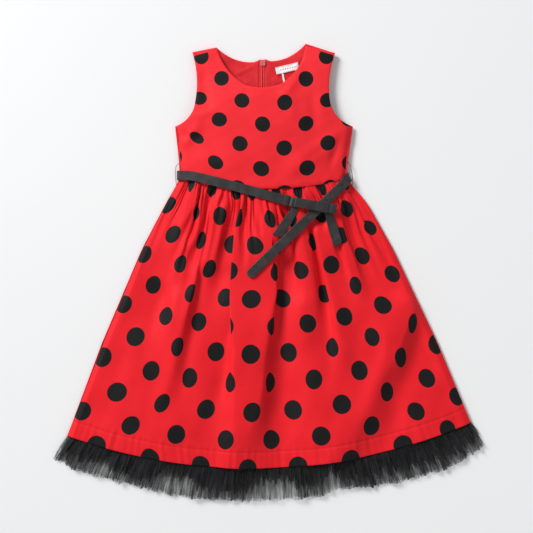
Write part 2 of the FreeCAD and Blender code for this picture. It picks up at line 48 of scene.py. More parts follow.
# ---------------------------------------------------------------- sizes shared with the design
CENTRE_X, ZIP_X = -12.0, -11.6
WAIST_SIDE_Y, WAIST_CENTRE_Y, BACK_WAIST_Y = 160.0, 142.0, 155.0
HEM_LEFT_Y, HEM_RIGHT_Y, HEM_CENTRE_Y = -278.0, -256.0, -331.0
SKIRT_LENGTH = WAIST_CENTRE_Y - HEM_CENTRE_Y
HEM_STITCH = 1 - 27.0 / SKIRT_LENGTH        # how far down the skirt its hem is stitched
LINING_END = 1 - 95.0 / SKIRT_LENGTH        # how far down it its lining ends
FRONT_EDGE_Z = 10.0
SEAM_Z = 5.0                                # where front and back meet at the sides
ZIP_GAP = 0.65                              # from the centre back to the cloth's edge
NECK_LEFT, NECK_RIGHT = (-90.0, 383.0), (62.0, 390.15)
SHOULDER_LEFT, SHOULDER_RIGHT = (-131.0, 375.0), (111.5, 374.0)

# Up the dress: y, left edge, right edge, height of the crown over the edges.
STATIONS = ((-410.0, -404.0, 414.0, 10.0), (-278.0, -345.0, 352.8, 18.0),
            (-120.0, -286.0, 287.0, 22.0), (40.0, -218.0, 211.0, 19.0),
            (120.0, -176.0, 166.0, 14.0), (160.0, -153.0, 131.5, 12.0),
            (190.0, -154.0, 133.5, 13.0), (249.0, -160.7, 142.0, 15.0),
            (300.0, -158.0, 137.0, 14.0), (376.0, -158.0, 136.0, 1.5), (410.0, -158.0, 136.0, 0.0))

# ---------------------------------------------------------------- the print
BODICE_PITCH, BODICE_ROWS = 73.5, 75.6      # between dots across and down the bodice
BODICE_DOT = (-12.4, 254.0)                 # centre of one of its dots
BODICE_RADIUS, SKIRT_RADIUS = 0.177, 0.182  # of the distance between columns
DOT_RADIUS_DOWN = 0.172                     # of the distance between rows
SKIRT_PITCH = (71.5, 89.0)                  # between dots across, at the waist and at the hem
SKIRT_EDGES = (-3.6, 4.3)                   # side seams, in columns of dots
SKIRT_REACH = SKIRT_EDGES[1] - SKIRT_EDGES[0]
CLOTH_PITCH = 80.0                          # of cloth to a column, for the weave
# How far across the front each whole column of dots stands, and how far down each row.
COLUMNS = ((-3.6, 0.0), (-3, 0.072), (-2, 0.208), (-1, 0.331), (0, 0.447), (1, 0.571), (2, 0.699),
           (3, 0.834), (4, 0.966), (4.3, 1.0))
ROWS = ((0.011, 0.0), (0.2, 1.0), (0.391, 2.0), (0.586, 3.0), (0.796, 4.0), (1.0, 5.0))


def at(points, x, column=1):
    """Reads a value off a short list of points, straight between them and past its ends."""
    points = np.asarray(points, float)
    xs, ys = points[:, 0], points[:, column]
    inside = np.interp(x, xs, ys)
    first = ys[0] + (x - xs[0]) * (ys[1] - ys[0]) / (xs[1] - xs[0])
    last = ys[-1] + (x - xs[-1]) * (ys[-1] - ys[-2]) / (xs[-1] - xs[-2])
    return np.where(x < xs[0], first, np.where(x > xs[-1], last, inside))


def rounded_at(points, x, reach, column=1):
    """The same with its corners rounded over reach on each side."""
    steps = np.linspace(-1, 1, 7)
    weights = 1 - 0.8 * abs(steps)
    values = [w * at(points, x + reach * k, column) for k, w in zip(steps, weights)]
    return sum(values) / weights.sum()


def ease(x, start, end):
    """0 before start, 1 after end and smooth between."""
    k = np.clip((np.asarray(x, float) - start) / (end - start), 0, 1)
    return k * k * (3 - 2 * k)


def bump(x, centre, width):
    """1 at the centre and falling off smoothly on both sides."""
    return np.exp(-((x - centre) / width) ** 2)


def ripple(x, y, seed, length, octaves=5):
    """Smooth irregular waves of about that length, mostly within -1 and 1."""
    rng = np.random.default_rng(seed)
    total = 0.0
    for _ in range(octaves):
        angle = rng.uniform(0, math.tau)
        wave = length * rng.uniform(0.6, 1.6)
        phase = rng.uniform(0, math.tau)
        along = x * math.cos(angle) + y * math.sin(angle)
        total = total + np.sin(along * math.tau / wave + phase)
    return total / octaves ** 0.5 * 0.8


def ripple_1d(x, seed, length, octaves=4):
    """Smooth irregular waves along a line."""
    rng = np.random.default_rng(seed)
    total = 0.0
    for _ in range(octaves):
        wave = length * rng.uniform(0.5, 1.8)
        total = total + np.sin(np.asarray(x) * math.tau / wave + rng.uniform(0, math.tau))
    return total / octaves ** 0.5 * 0.8


def wander(s, often, drift, seed, length):
    """A sine that turns so often in each unit of s, its phase drifting."""
    return np.sin(math.tau * (often * s + drift * ripple_1d(s, seed, length)))


def station(y, column):
    return rounded_at(STATIONS, y, 14.0, column)


def edges(y):
    """Left and right edge of the front at y."""
    return station(y, 1), station(y, 2)


def front_height(x, y):
    """Height of the design's front over the floor."""
    left, right = edges(y)
    u = np.clip((x - (left + right) / 2) / ((right - left) / 2), -1.03, 1.03)
    return FRONT_EDGE_Z + station(y, 3) * (1 - u * u)


# ---------------------------------------------------------------- materials
class Wire:
    """An output socket; sums written with it add the maths nodes that work them out."""

    def __init__(self, nodes, socket):
        self.nodes, self.socket = nodes, socket


for method, operation in (("__add__", "ADD"), ("__sub__", "SUBTRACT"), ("__mul__", "MULTIPLY"),
                          ("__truediv__", "DIVIDE"), ("__mod__", "MODULO"),
                          ("__lt__", "LESS_THAN"), ("__abs__", "ABSOLUTE"), ("__round__", "ROUND")):
    setattr(Wire, method, lambda *wires, operation=operation: wires[0].nodes.math(operation, *wires))


class Nodes:
    """A Principled material, with constants set on its shader and short ways to add nodes."""

    def __init__(self, name, **values):
        self.made = bpy.data.materials.new(name)
        self.made.use_nodes = True
        self.tree = self.made.node_tree
        self.shader = self.tree.nodes["Principled BSDF"]
        for key, value in values.items():
            self.shader.inputs[key.replace("_", " ")].default_value = value

    def put(self, socket, value):
        if isinstance(value, Wire):
            self.tree.links.new(value.socket, socket)
        elif value is not None:
            socket.default_value = (*value, 1.0) if socket.type == "RGBA" else value

    def node(self, kind, inputs, output=0, **settings):
        made = self.tree.nodes.new("ShaderNode" + kind)
        for key, value in settings.items():
            setattr(made, key, value)
        for key, value in inputs.items():
            self.put(made.inputs[key], value)
        return Wire(self, made.outputs[output])

    def math(self, operation, *values, **settings):
        return self.node("Math", dict(enumerate(values)), operation=operation, **settings)

    def attribute(self, name):
        return self.node("Attribute", {}, "Vector", attribute_name=name)

    def object_place(self):
        return self.node("TexCoord", {}, "Object")

    def split(self, vector):
        first = self.node("SeparateXYZ", {"Vector": vector})
        return [Wire(self, out) for out in first.socket.node.outputs]

    def scaled(self, vector, *scale):
        return self.node("Mapping", {"Vector": vector, "Scale": scale})

    def noise(self, vector, scale, detail=3.0, roughness=0.5):
        return self.node("TexNoise", {"Vector": vector, "Scale": scale, "Detail": detail,
                                      "Roughness": roughness})

    def cells(self, vector, scale, feature):
        return self.node("TexVoronoi", {"Vector": vector, "Scale": scale}, "Distance", feature=feature)

    def ramp(self, value, low, high, to_low=0.0, to_high=1.0):
        return self.node("MapRange", {"Value": value, "From Min": low, "From Max": high,
                                      "To Min": to_low, "To Max": to_high})

    def mix(self, factor, a, b):
        return self.node("Mix", {0: factor, 6: a, 7: b}, 2, data_type="RGBA")

    def weave(self, cloth, thread):
        """Height of a plain weave with threads that many millimetres apart."""
        x, y, _ = self.split(cloth)
        return self.math("SINE", x * (math.pi / thread)) * self.math("SINE", y * (math.pi / thread))

    def finish(self, colour, roughness=None, height=None, strength=0.0, distance=0.0):
        """Joins the shader to its colour, roughness and bump, and gives the material."""
        self.put(self.shader.inputs["Base Color"], colour)
        self.put(self.shader.inputs["Roughness"], roughness)
        if height is not None:
            self.put(self.shader.inputs["Normal"], self.node(
                "Bump", {"Strength": strength, "Distance": distance, "Height": height}))
        return self.made


def print_cotton():
    """Red cotton sateen with printed black spots, set out by the 'print' attribute."""
    n = Nodes("print_cotton", Roughness=0.6, Sheen_Weight=0.06, Sheen_Roughness=0.4,
              Specular_IOR_Level=0.16)
    across, down, radius = n.split(n.attribute("print"))
    cloth = n.attribute("cloth")
    _, up, past_seam = n.split(cloth)
    far = []
    for shift in (0.0, 0.5):
        a, b = across + shift, down + shift
        a, b = (a - round(a)) / radius, (b - round(b)) / DOT_RADIUS_DOWN
        far.append(n.math("SQRT", a * a + b * b))
    wobble = (n.noise(cloth, 0.35, 2.0) - 0.5) * 0.05
    spot = n.ramp(n.math("MINIMUM", *far) + wobble, 0.975, 1.015, 1.0, 0.0) * (past_seam < 0.01)
    slub = n.noise(n.scaled(cloth, 2.6, 0.10, 1.0), 1.0)
    slub_across = n.noise(n.scaled(cloth, 0.10, 2.6, 1.0), 1.0)
    mottle = n.noise(cloth, 0.018, 4.0, 0.6) * 0.6 + (slub + slub_across) * 0.2
    tone = n.ramp(mottle, 0.3, 0.7)
    red = n.mix(tone, (0.70, 0.0085, 0.016), (0.80, 0.0125, 0.021))
    # Painted light: the red is mixed towards a paler red higher up the cloth, so the bodice reads
    # brighter than the skirt.
    red = n.mix(n.ramp(up, -60.0, 330.0, 0.0, 0.8), red, (0.86, 0.026, 0.036))
    black = n.mix(tone, (0.0050, 0.0045, 0.0050), (0.0085, 0.0078, 0.0085))
    return n.finish(n.mix(spot, red, black), n.ramp(mottle, 0.3, 0.7, 0.58, 0.68),
                    n.weave(cloth, 0.42) * 0.5 + slub * 0.7, 0.35, 0.00012)


def plain_cotton():
    """The plain red lining, a finer cloth with fewer slubs."""
    n = Nodes("lining_cotton", Roughness=0.7, Sheen_Weight=0.06, Sheen_Roughness=0.5,
              Specular_IOR_Level=0.16)
    cloth = n.attribute("cloth")
    slub = n.noise(n.scaled(cloth, 0.12, 3.2, 1.0), 1.0)
    tone = n.noise(cloth, 0.03, 5.0, 0.6) * 0.7 + slub * 0.3
    colour = n.mix(n.ramp(tone, 0.3, 0.7), (0.60, 0.016, 0.024), (0.72, 0.024, 0.033))
    return n.finish(colour, n.ramp(tone, 0.3, 0.7, 0.66, 0.76),
                    n.weave(cloth, 0.34) + slub * 0.8, 0.3, 0.0001)


def tulle_net():
    """Fine black net. Where its pleats close up it lets less light through."""
    n = Nodes("tulle", Roughness=0.75, Sheen_Weight=0.1, Sheen_Roughness=0.4,
              Specular_IOR_Level=0.15)
    place = n.attribute("cloth")
    dense = n.split(place)[2]
    strands = n.noise(n.scaled(place, 0.42, 0.022, 0.0), 1.0, 3.0, 0.6)
    clumps = n.noise(n.scaled(place, 0.09, 0.012, 0.0), 1.0, 3.0, 0.6)
    cell = n.cells(n.scaled(place, 0.9, 0.9, 0.0), 5.0, "DISTANCE_TO_EDGE")
    net = n.ramp(cell, 0.05, 0.2, 0.18, -0.12)
    alpha = (dense + n.ramp(strands, 0.38, 0.64, -0.26, 0.42)
             + n.ramp(clumps, 0.40, 0.62, -0.20, 0.30) + net)
    n.put(n.shader.inputs["Alpha"], n.ramp(alpha, 0.0, 1.0, 0.06, 0.97))
    colour = n.mix(n.ramp(strands, 0.3, 0.7), (0.022, 0.022, 0.024), (0.012, 0.012, 0.013))
    return n.finish(colour, None, net + strands, 0.4, 0.0002)


def faux_leather():
    """Matte charcoal belt stuff: a fine pebbled grain, its edges painted paler as a highlight, with paler
    patches of wear.
    """
    n = Nodes("belt_leather", Roughness=0.52, Specular_IOR_Level=0.4, Sheen_Weight=0.12)
    place = n.object_place()
    wear = n.noise(place, 60.0, 4.0, 0.6)
    edge = n.node("NewGeometry", {}, "Pointiness")
    # Painted highlight: convex edges are mixed towards a paler grey where light would catch them; the
    # noise adds real paler wear.
    wear_and_edge_highlight = n.math("ADD", n.ramp(edge, 0.51, 0.60, 0.0, 0.7), n.ramp(wear, 0.40, 0.72, 0.0, 0.4),
                 use_clamp=True)
    grain = n.cells(place, 1500.0, "SMOOTH_F1") + n.noise(place, 900.0) * 0.5
    return n.finish(n.mix(wear_and_edge_highlight, (0.0155, 0.0135, 0.0143), (0.052, 0.047, 0.049)),
                    n.ramp(wear, 0.3, 0.7, 0.38, 0.58), grain, 0.45, 0.00016)


def metal(name, colour, roughness, lacquer=False):
    """A small metal fitting with faint scuffs; lacquered metal is painted over."""
    n = Nodes(name, Metallic=0.0 if lacquer else 1.0, Coat_Weight=0.5 if lacquer else 0.0)
    scuff = n.noise(n.scaled(n.object_place(), 700.0, 2600.0, 700.0), 1.0, 4.0, 0.6)
    worn = tuple(min(1.0, c * 1.35 + 0.03) for c in colour)
    return n.finish(n.mix(n.ramp(scuff, 0.45, 0.8), colour, worn),
                    n.ramp(scuff, 0.3, 0.8, roughness, roughness + 0.18), scuff, 0.12, 0.00008)


def woven_tape():
    """The zip's tape: a herringbone weave in the dress's red."""
    n = Nodes("zip_tape", Roughness=0.75, Sheen_Weight=0.15)
    cloth = n.attribute("cloth")
    x, y, _ = n.split(cloth)
    line = n.math("SINE", (y + abs((x + 200.0) % 3.0 - 1.5)) * 7.5)
    tone = n.ramp(line + n.noise(cloth, 2.0), -0.6, 1.6)
    return n.finish(n.mix(tone, (0.42, 0.016, 0.022), (0.56, 0.03, 0.038)),
                    n.ramp(tone, 0.0, 1.0, 0.7, 0.8), line, 0.3, 0.00012)


def nylon(name, low, high, roughness):
    """A smooth spun or moulded filament whose colour varies a little."""
    n = Nodes(name, Sheen_Weight=0.1)
    place = n.object_place()
    tone = n.noise(place, 900.0)
    return n.finish(n.mix(n.ramp(tone, 0.3, 0.7), low, high),
                    n.ramp(tone, 0.3, 0.7, roughness, roughness + 0.15),
                    n.noise(n.scaled(place, 1.0, 0.3, 1.0), 2600.0), 0.25, 0.0001)


def satin_label():
    """White woven satin with a generic border and a row of small woven lozenges."""
    n = Nodes("label_satin", Roughness=0.4, Sheen_Weight=0.2)
    x, y, marked = n.split(n.attribute("cloth"))
    border = n.math("COMPARE", abs(y), 5.3, 0.28)
    lozenge = (abs((x + 60.0) % 4.2 - 2.1) + abs(y) < 1.25) * (abs(x) < 14.0)
    grain = n.noise(n.scaled(n.attribute("cloth"), 1.5, 9.0, 1.0), 1.0)
    white = n.mix(n.ramp(grain, 0.3, 0.7), (0.78, 0.76, 0.76), (0.88, 0.87, 0.86))
    mark = n.math("MAXIMUM", border, lozenge) * marked
    return n.finish(n.mix(mark, white, (0.42, 0.10, 0.10)), n.ramp(grain, 0.3, 0.7, 0.34, 0.5),
                    grain, 0.25, 0.0001)


LOOKS = {
    "print_cotton": print_cotton(),
    "lining_cotton": plain_cotton(),
    "tulle": tulle_net(),
    "belt_leather": faux_leather(),
    "zip_tape": woven_tape(),
    "label_satin": satin_label(),
    "zip_lacquer": metal("zip_lacquer", (0.55, 0.10, 0.10), 0.3, lacquer=True),
    "zip_metal": metal("zip_metal", (0.72, 0.62, 0.58), 0.26),
    "clasp_metal": metal("clasp_metal", (0.10, 0.095, 0.10), 0.3),
    "zip_coil": nylon("zip_coil", (0.62, 0.10, 0.10), (0.74, 0.17, 0.16), 0.35),
    "thread": nylon("thread", (0.30, 0.008, 0.012), (0.44, 0.014, 0.018), 0.6),
}


# ---------------------------------------------------------------- making pieces
def piece(name, verts, faces, slot, body="dress", attributes=()):
    """A mesh from points in millimetres, on its body and in its slot's material. It stands for
    the CAD node that has its name without the last word."""
    mesh = bpy.data.meshes.new(name)
    mesh.from_pydata((np.asarray(verts, float) * MM).tolist(), [], [list(map(int, f)) for f in faces])
    for key, values in dict(attributes).items():
        layer = mesh.attributes.new(key, "FLOAT_VECTOR", "POINT")
        layer.data.foreach_set("vector", np.asarray(values, np.float32).ravel())
    mesh.validate()
    mesh.polygons.foreach_set("use_smooth", [True] * len(mesh.polygons))
    obj = bpy.data.objects.new(name, mesh)
    bpy.context.collection.objects.link(obj)
    obj.data.materials.append(LOOKS[slot])
    stands_for = [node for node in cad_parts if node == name.rsplit("_", 1)[0]]
    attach(obj, body)
    if stands_for:
        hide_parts(*stands_for)
    return obj


def vectors(*parts):
    """Three values for each point, each spread over the whole grid where it's shorter."""
    return np.stack(np.broadcast_arrays(*parts), -1).reshape(-1, 3)


def grid(points):
    """Points and quads of a rows by columns array, facing up where rows go down the dress."""
    rows, cols = points.shape[:2]
    r, c = np.meshgrid(np.arange(rows - 1), np.arange(cols - 1), indexing="ij")
    first = (r * cols + c).ravel()
    return points.reshape(-1, 3), np.stack([first, first + cols, first + cols + 1, first + 1], 1)


def arc(start, via, end, count=18):
    """Points of the circle's arc from start through via to end, without the last."""
    (ax, ay), (bx, by), (cx, cy) = start, via, end
    d = 2 * (ax * (by - cy) + bx * (cy - ay) + cx * (ay - by))
    a2, b2, c2 = ax * ax + ay * ay, bx * bx + by * by, cx * cx + cy * cy
    ox = (a2 * (by - cy) + b2 * (cy - ay) + c2 * (ay - by)) / d
    oy = (a2 * (cx - bx) + b2 * (ax - cx) + c2 * (bx - ax)) / d
    turn = [math.atan2(py - oy, px - ox) for px, py in (start, via, end)]
    swing = (turn[2] - turn[0]) % math.tau
    if (turn[1] - turn[0]) % math.tau > swing:
        swing -= math.tau
    radius = math.hypot(ax - ox, ay - oy)
    angles = [turn[0] + swing * k / count for k in range(count)]
    return [(ox + radius * math.cos(t), oy + radius * math.sin(t)) for t in angles]


def arcs(*points):
    """Arcs end to end: every other point is one that an arc passes through."""
    return sum((arc(*points[k:k + 3]) for k in range(0, len(points) - 2, 2)), [])


def even(outline, step):
    """The closed outline with points about every step along it, its corners kept."""
    out = []
    for a, b in zip(outline, outline[1:] + outline[:1]):
        count = max(1, round(math.dist(a, b) / step))
        out += [(a[0] + (b[0] - a[0]) * k / count, a[1] + (b[1] - a[1]) * k / count)
                for k in range(count)]
    return out


def inside(points, outline):
    """Which points stand inside the closed outline."""
    x, y = points[:, 0], points[:, 1]
    result = np.zeros(len(points), bool)
    for (ax, ay), (bx, by) in zip(outline, outline[1:] + outline[:1]):
        crosses = (ay > y) != (by > y)
        with np.errstate(divide="ignore", invalid="ignore"):
            result ^= crosses & (x < (bx - ax) * (y - ay) / (by - ay) + ax)
    return result


def filled(outline, spacing, holes=()):
    """Flat triangles that fill a closed outline: points, faces and each ring's count of points."""
    rings = [even(outline, spacing * 0.8), *holes]
    low, high = np.min(outline, axis=0), np.max(outline, axis=0)
    ys = np.arange(low[1], high[1], spacing * 0.87)
    gx, gy = np.meshgrid(np.arange(low[0], high[0], spacing), ys)
    gx = gx + (np.arange(len(ys)) % 2)[:, None] * spacing / 2
    loose = np.stack([gx.ravel(), gy.ravel()], 1)
    loose = loose[inside(loose, rings[0])]
    for ring in rings:
        gap = np.linalg.norm(loose[:, None] - np.array(ring)[None], axis=2).min(1)
        loose = loose[gap > spacing * 0.45]
    for hole in holes:
        loose = loose[~inside(loose, hole)]
    points, lines = [], []
    for ring in rings:
        start, count = len(points), len(ring)
        points += [Vector(p) for p in ring]
        lines += [(start + k, start + (k + 1) % count) for k in range(count)]
    points += [Vector(p) for p in loose]
    verts, _, faces, *_ = geometry.delaunay_2d_cdt(points, lines, [], 1, 1e-5)
    flat = np.array([tuple(v) for v in verts])
    kept = []
    for face in faces:
        corners = flat[list(face)]
        if any(inside(corners.mean(0)[None], hole)[0] for hole in holes):
            continue
        a, b, c = corners[:3]
        area = (b[0] - a[0]) * (c[1] - a[1]) - (b[1] - a[1]) * (c[0] - a[0])
        kept.append(list(face) if area > 0 else list(face)[::-1])
    return flat, kept, [len(ring) for ring in rings]


def rolled(flat, faces, ring_sizes, heights, rings, flip=False):
    """Adds turned edges: each ring is (outwards, downwards) from the outline it follows."""
    verts = np.column_stack([flat, heights])
    faces = [f[::-1] for f in faces] if flip else list(faces)
    sources = [np.arange(len(flat))]
    start = 0
    for size in ring_sizes:
        own = previous = np.arange(start, start + size)
        p = flat[own]
        along = np.roll(p, -1, 0) - np.roll(p, 1, 0)
        along /= np.linalg.norm(along, axis=1)[:, None] + 1e-9
        turn = np.sign(np.sum(p[:, 0] * np.roll(p[:, 1], -1) - np.roll(p[:, 0], -1) * p[:, 1]))
        outwards = np.column_stack([along[:, 1], -along[:, 0]]) * (-turn if start else turn)
        reverse = (turn < 0) ^ bool(start) ^ flip
        for out, down in rings:
            fresh = len(verts) + np.arange(size)
            verts = np.vstack([verts, np.column_stack([p + outwards * out, heights[own] - down])])
            sources.append(own)
            quads = np.stack([previous, fresh, np.roll(fresh, -1), np.roll(previous, -1)], 1)
            faces += [list(quad[::-1]) if reverse else list(quad) for quad in quads]
            previous = fresh
        start += size
    return verts, faces, np.concatenate(sources)


def joined(*meshes):
    """Several (points, faces) as one."""
    verts, faces, start = [], [], 0
    for points, own in meshes:
        verts.append(np.asarray(points, float))
        faces += [[int(k) + start for k in f] for f in own]
        start += len(points)
    return np.vstack(verts), faces


def ring_faces(count, size, closed, flip=False):
    """Quads round a row of rings of points, with the ends closed unless the row is a loop."""
    faces = []
    for r in range(count if closed else count - 1):
        n = (r + 1) % count
        for c in range(size):
            d = (c + 1) % size
            quad = [r * size + c, r * size + d, n * size + d, n * size + c]
            faces.append(quad[:1] + quad[:0:-1] if flip else quad)
    if not closed:
        ends = [list(range(size)), [(count - 1) * size + c for c in range(size)]]
        ends[1 if flip else 0].reverse()
        faces += ends
    return faces


def tube(path, radius, sides=6):
    """A round tube along a path of points, with its ends closed."""
    path = np.asarray(path, float)
    along = np.gradient(path, axis=0)
    along /= np.linalg.norm(along, axis=1)[:, None]
    side = np.cross(along, UP)
    short = np.linalg.norm(side, axis=1) < 0.2
    side[short] = np.cross(along[short], X)
    side /= np.linalg.norm(side, axis=1)[:, None]
    turns = (np.arange(sides) * math.tau / sides)[None, :, None]
    ring = side[:, None] * np.cos(turns) + np.cross(side, along)[:, None] * np.sin(turns)
    return (path[:, None] + ring * radius).reshape(-1, 3), ring_faces(len(path), sides, False)


# ---------------------------------------------------------------- gathered cloth
def smoothed(values, sigma):
    """Each row averaged over sigma samples, carried straight on past its ends."""
    reach = int(3 * sigma)
    kernel = np.exp(-0.5 * (np.arange(-reach, reach + 1) / sigma) ** 2)
    kernel /= kernel.sum()
    before = 2 * values[:, :1] - values[:, reach:0:-1]
    after = 2 * values[:, -1:] - values[:, -2:-reach - 2:-1]
    padded = np.hstack([before, values, after])
    return np.stack([np.convolve(row, kernel, "valid") for row in padded])


def gathered(s, bend, width, pitch, reach, blur, ends):
    """Lays cloth in folds row by row. bend is how steeply it turns at each point, and is scaled
    until the row's cloth, reach units of pitch, fits in its width. Returns how far each point
    moves across, as a share of the width, how far it moves up, and how free it is of the ends."""
    step = s[1] - s[0]
    low, high = np.zeros(width.shape), np.full(width.shape, 1.45)
    for _ in range(24):
        middle = (low + high) / 2
        share = np.cos(np.clip(bend * middle, -2.75, 2.75)).mean(1, keepdims=True)
        loose = share > width / (pitch * reach)
        low, high = np.where(loose, middle, low), np.where(loose, high, middle)
    turned = np.clip(bend * low, -2.75, 2.75)
    across = np.cumsum(np.cos(turned), 1) * step * pitch
    up = np.cumsum(np.sin(turned), 1) * step * pitch
    free = ease(np.minimum(s - s[0], s[-1] - s), 0.0, ends)
    moved = (across - smoothed(across, blur / step)) * free / width
    return moved, up - smoothed(up, blur / step), free


# Main folds of the front: column at the waist and at the hem, where it starts and ends down the
# skirt, strength (plus: the right side lies on top), and width in columns.
FRONT_FOLDS = (
    (-2.60, -2.70, -0.1, 0.30, -1.60, 0.15), (-2.55, -2.00, 0.17, 0.48, -1.10, 0.14),
    (-1.30, -1.35, 0.02, 0.46, -1.25, 0.12), (-1.86, -1.78, 0.26, 0.90, -1.35, 0.12),
    (-1.05, -1.05, 0.28, 0.62, 0.7, 0.15), (-0.71, -0.40, -0.1, 0.80, 2.25, 0.15),
    (-0.50, -0.52, 0.56, 1.20, 0.95, 0.12), (0.42, 0.52, 0.14, 0.48, -1.80, 0.11),
    (1.10, 0.16, 0.08, 1.10, -1.85, 0.18), (2.00, 1.80, 0.05, 0.62, -1.40, 0.14),
    (2.26, 1.95, 0.10, 0.80, 1.90, 0.13), (2.62, 2.70, 0.10, 0.45, -1.1, 0.12),
    (3.22, 3.22, 0.05, 0.55, -1.35, 0.13), (6.50, 2.10, 0.40, 1.15, -1.70, 0.20),
    (-3.20, -3.05, 0.05, 1.00, -0.5, 0.28), (-2.55, -2.55, 0.35, 0.75, 0.9, 0.15),
    (-0.22, 0.02, -0.1, 0.24, 1.4, 0.08), (1.45, 1.35, -0.1, 0.52, 1.3, 0.10),
    (2.75, 3.30, 0.20, 1.00, 0.6, 0.26), (3.85, 3.75, -0.1, 0.30, -1.5, 0.12),
    (-3.00, -3.05, -0.1, 0.28, 1.2, 0.10), (1.00, 1.15, 0.35, 1.10, 0.7, 0.22),
    (-1.72, -1.60, -0.1, 0.22, 1.3, 0.10),
)
BACK_FOLDS = (
    (-3.0, -3.1, -0.1, 0.8, 1.2, 0.14), (-2.2, -2.0, -0.1, 0.6, -1.5, 0.11),
    (-1.4, -1.7, -0.1, 0.9, 1.3, 0.14), (-0.6, -0.7, -0.1, 0.7, -1.4, 0.12),
    (1.1, 1.3, -0.1, 0.8, 1.4, 0.12), (1.9, 2.1, -0.1, 0.6, -1.4, 0.11),
    (2.8, 3.0, -0.1, 0.9, 1.2, 0.14), (3.6, 3.7, -0.1, 0.5, -1.3, 0.11),
)


def skirt_bend(s, v, folds, seed):
    """How steeply the skirt's cloth turns: main folds, and gathers that run out down it."""
    bend = np.zeros((len(v), len(s)))
    for top, bottom, start, end, strength, width in folds:
        centre = top + (bottom - top) * v
        wide = width * (1 + 1.6 * v ** 1.5)
        life = ease(v, start, start + 0.08) * (1 - ease(v, end - 0.3, end))
        bend += strength * life * np.exp(-np.abs((s - centre) / wide) ** 3)
    fine = wander(s, 5.3, 0.9, seed, 0.9) * (0.75 + 0.35 * ripple_1d(s, seed + 1, 0.5))
    middle = wander(s, 2.4, 0.7, seed + 2, 1.5) * (0.7 + 0.5 * ripple_1d(s, seed + 3, 1.1))
    length = 0.13 + 0.07 * ripple_1d(s, seed + 5, 0.8)
    bend += 1.75 * fine * (1 - ease(v / length, 0.15, 1.25))
    bend += 1.15 * middle * ease(v, 0.0, 0.05) * (1 - ease(v, 0.08, 0.42))
    return bend + 0.16 * wander(s, 0.95, 0.5, seed + 4, 3.0) * ease(v, 0.3, 0.7)


def row_place(v, w, waist_centre, inset=0.0):
    """Where a point stands that is v of the way down the skirt and w of the way across."""
    left_y = WAIST_SIDE_Y + (HEM_LEFT_Y - WAIST_SIDE_Y) * v
    right_y = WAIST_SIDE_Y + (HEM_RIGHT_Y - WAIST_SIDE_Y) * v
    left_x, right_x = edges(left_y)[0] + inset, edges(right_y)[1] - inset
    sag_top = WAIST_SIDE_Y - waist_centre
    sag_hem = (HEM_LEFT_Y + HEM_RIGHT_Y) / 2 - HEM_CENTRE_Y
    sag = sag_top + (sag_hem - sag_top) * np.clip(v, 0, 2) ** 0.9
    x = left_x + (right_x - left_x) * w
    y = left_y + (right_y - left_y) * w - sag * 4 * w * (1 - w)
    return x, y, right_x - left_x


def side_rise(side):
    """1 at the side seams, falling to 0 a little way in."""
    return 1 - ease(side, -1.0, 11.0)


def spans(*parts):
    """A column of numbers over (from, to, count) stretches that meet end to end."""
    lines = [np.linspace(*part) for part in parts]
    return np.concatenate([line[:-1] for line in lines[:-1]] + lines[-1:])[:, None]


def skirt_pitch(v):
    return SKIRT_PITCH[0] + (SKIRT_PITCH[1] - SKIRT_PITCH[0]) * v


def turned_hem(points, v, turn, depth, rows):
    """Adds a hem: (outwards, up) steps round its edge, then rows again that far above."""
    last = points[-1]
    out = last - points[-2]
    out /= np.linalg.norm(out, axis=1)[:, None]
    more = [last + out * a + UP * b for a, b in turn] + [points[k] + UP * depth for k in rows]
    past = np.array([[1.001], [1.002], [1.003]])
    return np.concatenate([points, np.stack(more)]), np.concatenate([v, past, v[rows]])


